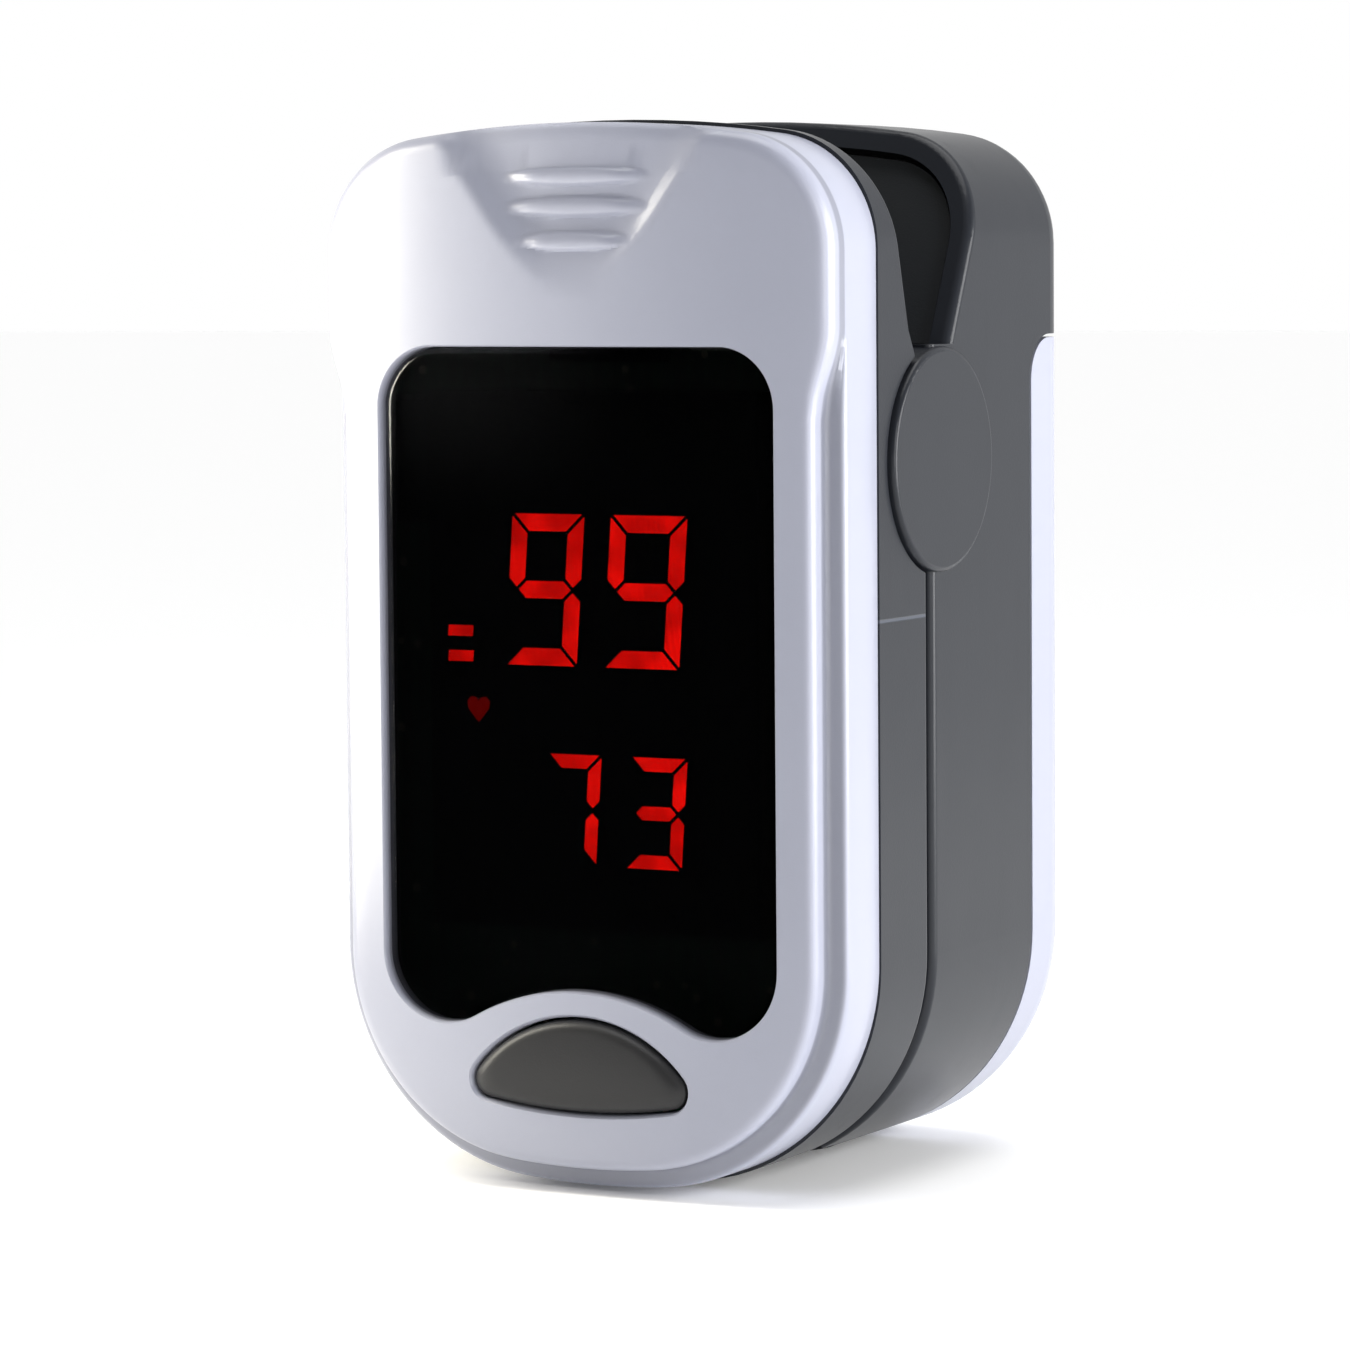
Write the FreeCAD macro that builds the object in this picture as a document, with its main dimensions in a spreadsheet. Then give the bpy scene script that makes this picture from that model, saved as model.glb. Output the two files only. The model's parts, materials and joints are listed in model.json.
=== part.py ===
import FreeCAD, Part
import Sketcher
import math
import os

# Fingertip pulse oximeter, built as two hinged halves with a button and a battery door.
# Axes: +X to the right of the display, +Y from the display to the back, +Z towards the
# squeeze end. The origin is under the middle of the bounding box, at its lowest face.

DIMENSIONS = [
    # front cover and its outline
    ("cover_half_width", 15.78), ("cover_top", 58.6), ("cover_bottom", 0.30),
    ("top_crown_radius", 75.0), ("bottom_crown_radius", 45.0),
    ("top_corner_radius", 6.4), ("bottom_corner_radius", 12.6),
    ("cover_front", -15.0), ("cover_rear", -9.5), ("cover_wall", 1.25), ("cover_front_wall", 1.3),
    ("shoulder_width", 1.1), ("shoulder_depth", 1.6), ("shoulder_top", 44.6),
    # grey shells
    ("shell_half_width", 15.85), ("shell_top", 58.95), ("shell_bottom", 0.0),
    ("front_half_width", 15.85), ("front_top", 58.8), ("front_bottom", 0.12),
    ("shell_wall", 1.25), ("part_front", -3.45), ("part_back", -3.0), ("slit_depth", 0.3),
    ("door_front", 9.8), ("back_face", 15.0), ("door_top", 46.55), ("door_gap", 0.2),
    ("door_wall", 1.15), ("door_corner", 2.4), ("back_edge_round", 2.4),
    ("rim_round", 0.55), ("lip_round", 0.3), ("seam_round", 0.5),
    # hinge
    ("hinge_y", -2.1), ("hinge_z", 40.1), ("disc_radius", 6.2), ("disc_gap", 0.2),
    ("disc_proud", 0.4), ("pin_radius", 1.25), ("pin_play", 0.05), ("ear_radius", 3.2),
    # squeeze gap, one slanted edge on each half
    ("gap_bottom_z", 46.4), ("gap_front_y", -5.35), ("gap_front_slope", 0.276),
    ("gap_back_y", -0.75), ("gap_back_slope", 0.47), ("panel_recess", 0.8),
    ("panel_thick", 0.9), ("panel_groove", 0.4),
    # window, display and button
    ("window_half_width", 12.18), ("window_top", 46.4), ("window_lobe_z", 13.0),
    ("window_lobe_radius", 3.8), ("window_corner_radius", 3.3), ("window_arch_top", 11.35),
    ("window_flange", 0.8), ("window_flange_thick", 0.6),
    ("button_top", 9.7), ("button_low", 4.65),
    ("button_top_radius", 8.4), ("button_low_radius", 34.0), ("button_corner_radius", 1.0),
    ("button_gap", 0.15), ("button_proud", 0.25),
    # inner stack
    ("board_front", -10.2), ("board_thick", 0.8), ("module_front", -13.0),
    ("tray_front_y", -8.2), ("tray_back_y", 2.0), ("tray_thick", 1.0),
    ("trough_half_width", 9.3), ("trough_end", 34.0),
    ("pad_half_width", 9.2), ("pad_end", 33.6), ("wing_front_y", -4.4), ("wing_back_y", -2.2),
    ("mouth_half_width", 8.7), ("mouth_front", -7.9), ("mouth_back", 1.7), ("mouth_corner", 3.8),
    ("tunnel_y", -3.1), ("tunnel_half_width", 7.9), ("tunnel_half_depth", 3.4),
    # cells
    ("cell_radius", 5.25), ("cell_length", 43.5), ("nub_length", 1.0), ("nub_radius", 1.9),
    ("cell_x", 5.4), ("cell_y", 8.4), ("bay_bottom", 4.2), ("bay_top", 51.2),
]

doc = FreeCAD.newDocument("PulseOximeter")
sheet = doc.addObject("Spreadsheet::Sheet", "Dimensions")
for row, (alias, number) in enumerate(DIMENSIONS, start=1):
    sheet.set("A%d" % row, alias.replace("_", " "))
    sheet.set("B%d" % row, str(number))
    sheet.setAlias("B%d" % row, alias)
doc.recompute()


class Size:
    """A length that carries both its number and the sheet formula it comes from."""

    def __init__(self, number, formula):
        self.number = number
        self.formula = formula

    def __add__(self, other):
        other = size(other)
        return Size(self.number + other.number, "(%s + %s)" % (self.formula, other.formula))

    def __sub__(self, other):
        other = size(other)
        return Size(self.number - other.number, "(%s - %s)" % (self.formula, other.formula))

    def __mul__(self, other):
        other = size(other)
        return Size(self.number * other.number, "(%s * %s)" % (self.formula, other.formula))

    def __neg__(self):
        return Size(-self.number, "(0 - %s)" % self.formula)


def size(value):
    """Turn a plain number into a Size; a Size stays as it is."""
    if isinstance(value, Size):
        return value
    return Size(float(value), repr(round(float(value), 6)))


def dim(alias):
    """The named cell of the sheet."""
    return Size(float(sheet.get(alias)), "Dimensions." + alias)


def num(alias):
    return float(sheet.get(alias))


# ---------------------------------------------------------------- sketch helpers

def new_body(label):
    body = doc.addObject("PartDesign::Body", label.replace("_", " ").title().replace(" ", ""))
    body.Label = label
    return body


def plane_of(body, role):
    for feature in body.Origin.OriginFeatures:
        if feature.Role == role:
            return feature
    raise ValueError("no origin plane " + role)


def new_sketch(body, role, offset):
    """A sketch on an origin plane; on XZ_Plane the offset is the Y of the sketch."""
    sketch = body.newObject("Sketcher::SketchObject", body.Name + "Sketch")
    sketch.AttachmentSupport = (plane_of(body, role), [""])
    sketch.MapMode = "FlatFace"
    offset = size(offset)
    if role == "XZ_Plane":
        offset = -offset
    sketch.setExpression("AttachmentOffset.Base.z", offset.formula)
    return sketch


def pin_point(sketch, element, position, x, y):
    """Hold one point of an element at x, y, both bound to the sheet."""
    for kind, axis, value in (("DistanceX", -2, size(x)), ("DistanceY", -1, size(y))):
        if abs(value.number) < 1e-9:
            sketch.addConstraint(Sketcher.Constraint("PointOnObject", element, position, axis))
            continue
        if value.number > 0:
            ends = (-1, 1, element, position)
        else:
            ends = (element, position, -1, 1)
            value = -value
        index = sketch.addConstraint(Sketcher.Constraint(kind, *ends, value.number))
        sketch.setExpression("Constraints[%d]" % index, value.formula)


def bind_radius(sketch, element, radius):
    radius = size(radius)
    index = sketch.addConstraint(Sketcher.Constraint("Radius", element, radius.number))
    sketch.setExpression("Constraints[%d]" % index, radius.formula)


def point(x, y):
    return FreeCAD.Vector(x, y, 0)


def add_circle(sketch, x, y, radius):
    x, y, radius = size(x), size(y), size(radius)
    circle = Part.Circle(point(x.number, y.number), FreeCAD.Vector(0, 0, 1), radius.number)
    element = sketch.addGeometry(circle, False)
    pin_point(sketch, element, 3, x, y)
    bind_radius(sketch, element, radius)


def add_polygon(sketch, corners):
    """A closed polygon; each corner is an (x, y) pair of numbers or Sizes."""
    corners = [(size(x), size(y)) for x, y in corners]
    lines = []
    for (xa, ya), (xb, yb) in zip(corners, corners[1:] + corners[:1]):
        segment = Part.LineSegment(point(xa.number, ya.number), point(xb.number, yb.number))
        lines.append(sketch.addGeometry(segment, False))
    for line, following in zip(lines, lines[1:] + lines[:1]):
        sketch.addConstraint(Sketcher.Constraint("Coincident", line, 2, following, 1))
    for line, (x, y) in zip(lines, corners):
        pin_point(sketch, line, 1, x, y)


def add_box(sketch, x_low, x_high, y_low, y_high):
    add_polygon(sketch, [(x_low, y_low), (x_high, y_low), (x_high, y_high), (x_low, y_high)])


def add_rounded_box(sketch, x_low, x_high, y_low, y_high, radius):
    """A rectangle with four equal corner arcs; all five sizes are bound to the sheet."""
    radius = size(radius)
    sides = [size(v) for v in (x_low, x_high, y_low, y_high)]
    x0, x1, y0, y1 = [side.number for side in sides]
    r = radius.number
    quarter = math.pi / 2
    ids = add_chain(sketch, [
        (Part.LineSegment(point(x0 + r, y0), point(x1 - r, y0)), 1, 2),
        (arc(x1 - r, y0 + r, r, -quarter, 0), 1, 2),
        (Part.LineSegment(point(x1, y0 + r), point(x1, y1 - r)), 1, 2),
        (arc(x1 - r, y1 - r, r, 0, quarter), 1, 2),
        (Part.LineSegment(point(x1 - r, y1), point(x0 + r, y1)), 1, 2),
        (arc(x0 + r, y1 - r, r, quarter, 2 * quarter), 1, 2),
        (Part.LineSegment(point(x0, y1 - r), point(x0, y0 + r)), 1, 2),
        (arc(x0 + r, y0 + r, r, 2 * quarter, 3 * quarter), 1, 2),
    ])
    for element, kind in ((0, "Horizontal"), (2, "Vertical"), (4, "Horizontal"), (6, "Vertical")):
        sketch.addConstraint(Sketcher.Constraint(kind, ids[element]))
    for element in (1, 3, 5, 7):
        bind_radius(sketch, ids[element], radius)
    pin_point(sketch, ids[1], 3, sides[1] - radius, sides[2] + radius)
    pin_point(sketch, ids[5], 3, sides[0] + radius, sides[3] - radius)


def arc(x, y, radius, start, end):
    circle = Part.Circle(point(x, y), FreeCAD.Vector(0, 0, 1), radius)
    return Part.ArcOfCircle(circle, start, end)


def add_chain(sketch, elements):
    """Join elements end to start, tangent; each is (curve, start position, end position)."""
    indices = [sketch.addGeometry(curve, False) for curve, _, _ in elements]
    count = len(elements)
    for k in range(count):
        following = (k + 1) % count
        joint = Sketcher.Constraint("Tangent", indices[k], elements[k][2],
                                    indices[following], elements[following][1])
        sketch.addConstraint(joint)
    return indices


class Outline:
    """The crowned outline of a half: straight sides, four corner arcs and two crown arcs."""

    def __init__(self, family, inset):
        inset = size(inset)
        self.half = dim(family + "_half_width") - inset
        self.top_centre = dim(family + "_top") - dim("top_crown_radius")
        self.bottom_centre = dim(family + "_bottom") + dim("bottom_crown_radius")
        self.top_crown = dim("top_crown_radius") - inset
        self.bottom_crown = dim("bottom_crown_radius") - inset
        self.top_corner = dim("top_corner_radius") - inset
        self.bottom_corner = dim("bottom_corner_radius") - inset

    def corner(self, crown, corner, centre, side):
        """Centre of a corner arc and the angle at which it meets the crown arc."""
        x = self.half.number - corner.number
        rise = math.sqrt((crown.number - corner.number) ** 2 - x * x)
        return x, centre.number + side * rise, math.atan2(rise, x)

    def top(self):
        return self.corner(self.top_crown, self.top_corner, self.top_centre, 1)

    def bottom(self):
        return self.corner(self.bottom_crown, self.bottom_corner, self.bottom_centre, -1)

    def draw(self, sketch):
        """The whole closed outline, anticlockwise from the right side."""
        half = self.half.number
        xt, zt, at = self.top()
        xb, zb, ab = self.bottom()
        crown_top = arc(0, self.top_centre.number, self.top_crown.number, at, math.pi - at)
        crown_low = arc(0, self.bottom_centre.number, self.bottom_crown.number,
                        math.pi + ab, 2 * math.pi - ab)
        elements = [
            (Part.LineSegment(point(half, zb), point(half, zt)), 1, 2),
            (arc(xt, zt, self.top_corner.number, 0, at), 1, 2),
            (crown_top, 1, 2),
            (arc(-xt, zt, self.top_corner.number, math.pi - at, math.pi), 1, 2),
            (Part.LineSegment(point(-half, zt), point(-half, zb)), 1, 2),
            (arc(-xb, zb, self.bottom_corner.number, math.pi, math.pi + ab), 1, 2),
            (crown_low, 1, 2),
            (arc(xb, zb, self.bottom_corner.number, 2 * math.pi - ab, 2 * math.pi), 1, 2),
        ]
        ids = add_chain(sketch, elements)
        for side in (ids[0], ids[4]):
            sketch.addConstraint(Sketcher.Constraint("Vertical", side))
        self.hold_side(sketch, ids[0], 1)
        self.hold_side(sketch, ids[4], -1)
        pin_point(sketch, ids[2], 3, 0, self.top_centre)
        pin_point(sketch, ids[6], 3, 0, self.bottom_centre)
        bind_radius(sketch, ids[2], self.top_crown)
        bind_radius(sketch, ids[6], self.bottom_crown)
        for element, radius in ((ids[1], self.top_corner), (ids[3], self.top_corner),
                                (ids[5], self.bottom_corner), (ids[7], self.bottom_corner)):
            bind_radius(sketch, element, radius)

    def hold_side(self, sketch, line, side):
        ends = (-1, 1, line, 1) if side > 0 else (line, 1, -1, 1)
        held = sketch.addConstraint(Sketcher.Constraint("DistanceX", *ends, self.half.number))
        sketch.setExpression("Constraints[%d]" % held, self.half.formula)


# ---------------------------------------------------------------- feature helpers

def pad(body, sketch, length, forward=True):
    """Pad a sketch; forward is +Y for XZ sketches, +Z for XY and +X for YZ."""
    feature = body.newObject("PartDesign::Pad", body.Name + "Pad")
    feature.Profile = sketch
    feature.setExpression("Length", size(length).formula)
    feature.Reversed = forward == (sketch.AttachmentSupport[0][0].Role == "XZ_Plane")
    doc.recompute()
    return feature


def pocket(body, sketch, length, forward=True):
    """Cut a sketch into the body, and make sure that it removed something."""
    before = body.Shape.Volume
    feature = body.newObject("PartDesign::Pocket", body.Name + "Pocket")
    feature.Profile = sketch
    feature.setExpression("Length", size(length).formula)
    feature.Reversed = forward != (sketch.AttachmentSupport[0][0].Role == "XZ_Plane")
    doc.recompute()
    if not body.Shape.Volume < before - 1e-6:
        raise ValueError("a pocket of %s cuts nothing" % body.Label)
    return feature


def edges_where(shape, test):
    """Names of the edges whose every sampled point passes the test."""
    names = []
    for index, edge in enumerate(shape.Edges, start=1):
        if all(test(p) for p in edge.discretize(5)):
            names.append("Edge%d" % index)
    return names


def round_edges(body, radius, test):
    return round_named(body, radius, edges_where(body.Shape, test))


def round_named(body, radius, names):
    if not names:
        raise ValueError("no edge to round on " + body.Label)
    base = body.Tip
    feature = body.newObject("PartDesign::Fillet", body.Name + "Fillet")
    feature.Base = (base, names)
    feature.setExpression("Radius", size(radius).formula)
    doc.recompute()
    if feature.Shape.isNull():
        raise ValueError("the edges of %s cannot be rounded" % body.Label)
    return feature


def solid_box(x_low, x_high, y_low, y_high, z_low, z_high):
    corner = FreeCAD.Vector(x_low, y_low, z_low)
    return Part.makeBox(x_high - x_low, y_high - y_low, z_high - z_low, corner)


def rod(x, y, z, radius, length, direction):
    return Part.makeCylinder(radius, length, FreeCAD.Vector(x, y, z), FreeCAD.Vector(*direction))


def side_profile(corners, x_low, x_high):
    """A polygon in the YZ plane, given as (y, z) pairs, extruded along X."""
    points = [FreeCAD.Vector(x_low, y, z) for y, z in corners]
    face = Part.Face(Part.makePolygon(points + points[:1]))
    return face.extrude(FreeCAD.Vector(x_high - x_low, 0, 0))


def plain_feature(label, shape, placement=FreeCAD.Placement()):
    """A sub-part whose shape comes from Part's own functions."""
    feature = doc.addObject("Part::Feature", label.replace("_", " ").title().replace(" ", ""))
    feature.Label = label
    feature.Shape = shape
    feature.Placement = placement
    return feature


def outline_prism(family, inset, y_low, y_high):
    """Solid between two Y planes with the crowned outline of a half."""
    shape = Outline(family, inset)
    half = shape.half.number
    xt, zt, at = shape.top()
    xb, zb, ab = shape.bottom()

    def polar(x, z, radius, angle):
        return FreeCAD.Vector(x + radius * math.cos(angle), y_low, z + radius * math.sin(angle))

    def curve(x, z, radius, start, end):
        middle = polar(x, z, radius, (start + end) / 2)
        return Part.Arc(polar(x, z, radius, start), middle, polar(x, z, radius, end)).toShape()

    edges = [
        Part.makeLine(FreeCAD.Vector(half, y_low, zb), FreeCAD.Vector(half, y_low, zt)),
        curve(xt, zt, shape.top_corner.number, 0, at),
        curve(0, shape.top_centre.number, shape.top_crown.number, at, math.pi - at),
        curve(-xt, zt, shape.top_corner.number, math.pi - at, math.pi),
        Part.makeLine(FreeCAD.Vector(-half, y_low, zt), FreeCAD.Vector(-half, y_low, zb)),
        curve(-xb, zb, shape.bottom_corner.number, math.pi, math.pi + ab),
        curve(0, shape.bottom_centre.number, shape.bottom_crown.number,
              math.pi + ab, 2 * math.pi - ab),
        curve(xb, zb, shape.bottom_corner.number, 2 * math.pi - ab, 2 * math.pi),
    ]
    face = Part.Face(Part.Wire(edges))
    return face.extrude(FreeCAD.Vector(0, y_high - y_low, 0))


# ---------------------------------------------------------------- outlines of the front face

def draw_head(sketch, z_cut):
    """The upper end of the cover outline, closed by a straight line at z_cut."""
    shape = Outline("cover", 0)
    half = shape.half.number
    xt, zt, at = shape.top()
    low = z_cut.number
    curves = [
        Part.LineSegment(point(-half, low), point(half, low)),
        Part.LineSegment(point(half, low), point(half, zt)),
        arc(xt, zt, shape.top_corner.number, 0, at),
        arc(0, shape.top_centre.number, shape.top_crown.number, at, math.pi - at),
        arc(-xt, zt, shape.top_corner.number, math.pi - at, math.pi),
        Part.LineSegment(point(-half, zt), point(-half, low)),
    ]
    ids = [sketch.addGeometry(curve, False) for curve in curves]
    for k, (first, second) in enumerate(zip(ids, ids[1:] + ids[:1])):
        kind = "Tangent" if k in (1, 2, 3, 4) else "Coincident"
        sketch.addConstraint(Sketcher.Constraint(kind, first, 2, second, 1))
    pin_point(sketch, ids[0], 1, -shape.half, z_cut)
    pin_point(sketch, ids[0], 2, shape.half, z_cut)
    for side in (ids[1], ids[5]):
        sketch.addConstraint(Sketcher.Constraint("Vertical", side))
    pin_point(sketch, ids[3], 3, 0, shape.top_centre)
    bind_radius(sketch, ids[3], shape.top_crown)
    for corner in (ids[2], ids[4]):
        bind_radius(sketch, corner, shape.top_corner)


def draw_window(sketch, grow):
    """Window outline: two rounded top corners, two lobes and the arch over the button."""
    grow = size(grow)
    half = dim("window_half_width") + grow
    top = dim("window_top") + grow
    corner = dim("window_corner_radius") + grow
    lobe = dim("window_lobe_radius") + grow
    lobe_z = dim("window_lobe_z")
    lobe_x = half.number - lobe.number
    depth = lobe_z.number - (num("window_arch_top") - grow.number)
    arch = (lobe_x ** 2 + depth ** 2 - lobe.number ** 2) / (2 * (lobe.number - depth))
    arch_z = num("window_arch_top") - grow.number - arch
    meet = math.atan2(lobe_z.number - arch_z, lobe_x)
    top_z = top.number - corner.number
    left = -lobe_x
    elements = [
        (Part.LineSegment(point(half.number, lobe_z.number), point(half.number, top_z)), 1, 2),
        (arc(half.number - corner.number, top_z, corner.number, 0, math.pi / 2), 1, 2),
        (Part.LineSegment(point(half.number - corner.number, top.number),
                          point(corner.number - half.number, top.number)), 1, 2),
        (arc(corner.number - half.number, top_z, corner.number, math.pi / 2, math.pi), 1, 2),
        (Part.LineSegment(point(-half.number, top_z), point(-half.number, lobe_z.number)), 1, 2),
        (arc(left, lobe_z.number, lobe.number, math.pi, 2 * math.pi - meet), 1, 2),
        (arc(0, arch_z, arch, meet, math.pi - meet), 2, 1),
        (arc(lobe_x, lobe_z.number, lobe.number, math.pi + meet, 2 * math.pi), 1, 2),
    ]
    ids = add_chain(sketch, elements)
    pin_point(sketch, ids[2], 1, half - corner, top)
    sketch.addConstraint(Sketcher.Constraint("Horizontal", ids[2]))
    for side in (ids[0], ids[4]):
        sketch.addConstraint(Sketcher.Constraint("Vertical", side))
    for element, radius in ((ids[1], corner), (ids[3], corner), (ids[7], lobe), (ids[5], lobe)):
        bind_radius(sketch, element, radius)
    pin_point(sketch, ids[5], 3, lobe - half, lobe_z)
    held = Sketcher.Constraint("DistanceY", -1, 1, ids[7], 3, lobe_z.number)
    sketch.setExpression("Constraints[%d]" % sketch.addConstraint(held), lobe_z.formula)
    bind_radius(sketch, ids[6], arch)


def draw_button(sketch, grow):
    """Half-moon outline of the button: a tight upper arc over a flat lower arc."""
    grow = size(grow)
    upper = dim("button_top_radius") + grow
    lower = dim("button_low_radius") + grow
    corner = dim("button_corner_radius") + grow
    upper_z = dim("button_top") - dim("button_top_radius")
    lower_z = dim("button_low") + dim("button_low_radius")
    reach_up = upper.number - corner.number
    reach_low = lower.number - corner.number
    gap = lower_z.number - upper_z.number
    rise = (gap ** 2 + reach_up ** 2 - reach_low ** 2) / (2 * gap)
    x = math.sqrt(reach_up ** 2 - rise ** 2)
    z = upper_z.number + rise
    up = math.atan2(rise, x)
    low = math.atan2(lower_z.number - z, x)
    elements = [
        (arc(0, upper_z.number, upper.number, up, math.pi - up), 1, 2),
        (arc(-x, z, corner.number, math.pi - up, math.pi + low), 1, 2),
        (arc(0, lower_z.number, lower.number, math.pi + low, 2 * math.pi - low), 1, 2),
        (arc(x, z, corner.number, -low, up), 1, 2),
    ]
    ids = add_chain(sketch, elements)
    pin_point(sketch, ids[0], 3, 0, upper_z)
    pin_point(sketch, ids[2], 3, 0, lower_z)
    bind_radius(sketch, ids[0], upper)
    bind_radius(sketch, ids[2], lower)
    for element in (ids[1], ids[3]):
        bind_radius(sketch, element, corner)


# ---------------------------------------------------------------- display half

SCREW_X = 12.3
SCREW_Z = 49.2
RIBS = ((55.6, 4.3), (54.0, 4.3), (52.2, 3.4))


def make_front_cover():
    body = new_body("front_cover")
    depth = dim("cover_rear") - dim("cover_front")
    sketch = new_sketch(body, "XZ_Plane", dim("cover_front") + dim("shoulder_depth"))
    Outline("cover", 0).draw(sketch)
    pad(body, sketch, depth - dim("shoulder_depth"))
    sketch = new_sketch(body, "XZ_Plane", dim("cover_front"))
    Outline("cover", dim("shoulder_width")).draw(sketch)
    pad(body, sketch, dim("shoulder_depth"))
    sketch = new_sketch(body, "XZ_Plane", dim("cover_front"))
    draw_head(sketch, dim("shoulder_top"))
    pad(body, sketch, dim("shoulder_depth"))
    front = num("cover_front")
    cut = num("shoulder_top")
    round_edges(body, 0.8, lambda p: abs(p.y - front) < 1e-4 and p.z > cut - 0.01)
    sketch = new_sketch(body, "XZ_Plane", dim("cover_rear"))
    Outline("cover", dim("cover_wall")).draw(sketch)
    pocket(body, sketch, depth - dim("cover_front_wall") - 0.8, forward=False)
    inner = dim("cover_front") + dim("cover_front_wall")
    sketch = new_sketch(body, "XZ_Plane", inner + 0.8)
    Outline("cover", 2.4).draw(sketch)
    pocket(body, sketch, 0.8, forward=False)
    sketch = new_sketch(body, "XZ_Plane", dim("cover_front"))
    draw_window(sketch, 0.08)
    draw_button(sketch, dim("button_gap"))
    pocket(body, sketch, dim("cover_front_wall") + 0.1)
    sketch = new_sketch(body, "XZ_Plane", dim("cover_front"))
    add_polygon(sketch, [(-3.4, 50.2), (3.6, 50.2), (7.9, 57.0), (-7.7, 57.0)])
    pocket(body, sketch, 0.45)
    for z, half in RIBS:
        sketch = new_sketch(body, "XZ_Plane", dim("cover_front"))
        add_box(sketch, -half, half, z - 0.35, z + 0.35)
        pad(body, sketch, 0.6)
    sketch = new_sketch(body, "XZ_Plane", inner)
    for side in (-1, 1):
        add_circle(sketch, side * SCREW_X, SCREW_Z, 1.5)
    pad(body, sketch, dim("board_front") - inner)
    sketch = new_sketch(body, "XZ_Plane", dim("board_front"))
    for side in (-1, 1):
        add_circle(sketch, side * SCREW_X, SCREW_Z, 0.8)
    pocket(body, sketch, 2.6, forward=False)
    return body


def make_display_window():
    body = new_body("display_window")
    front = dim("cover_front") + 0.05
    inner = dim("cover_front") + dim("cover_front_wall")
    sketch = new_sketch(body, "XZ_Plane", front)
    draw_window(sketch, 0)
    pad(body, sketch, inner - front)
    edge = front.number
    round_edges(body, 0.5, lambda p: abs(p.y - edge) < 1e-4)
    sketch = new_sketch(body, "XZ_Plane", inner)
    draw_window(sketch, dim("window_flange"))
    pad(body, sketch, dim("window_flange_thick"))
    return body


def make_power_button():
    body = new_body("power_button")
    front = dim("cover_front") - dim("button_proud")
    flange = dim("cover_front") + dim("cover_front_wall") + 0.2
    sketch = new_sketch(body, "XZ_Plane", front)
    draw_button(sketch, 0)
    pad(body, sketch, flange - front)
    edge = front.number
    round_edges(body, 0.7, lambda p: abs(p.y - edge) < 1e-4)
    sketch = new_sketch(body, "XZ_Plane", flange)
    draw_button(sketch, 0.5)
    pad(body, sketch, 0.6)
    sketch = new_sketch(body, "XZ_Plane", flange + 0.6)
    add_circle(sketch, 0, 6.9, 1.2)
    pad(body, sketch, 0.75)
    return body


def round_slanted_edge(body, radius, foot_y, slope):
    """Round the outer edge of the squeeze gap while the half is still solid."""
    foot = num("gap_bottom_z")

    def on_edge(p):
        return p.z > foot - 0.01 and abs(p.y - foot_y - slope * (p.z - foot)) < 1e-3

    def not_across(edge):
        return edge.BoundBox.XLength < 31

    names = [name for name in edges_where(body.Shape, on_edge)
             if not_across(body.Shape.getElement(name))]
    round_named(body, radius, names)


def cut_mouth(body):
    """The half of the finger hole that lies in this shell's bottom wall."""
    sketch = new_sketch(body, "XY_Plane", -1)
    half = dim("mouth_half_width")
    add_rounded_box(sketch, -half, half, dim("mouth_front"), dim("mouth_back"),
                    dim("mouth_corner"))
    pocket(body, sketch, 9)


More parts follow.
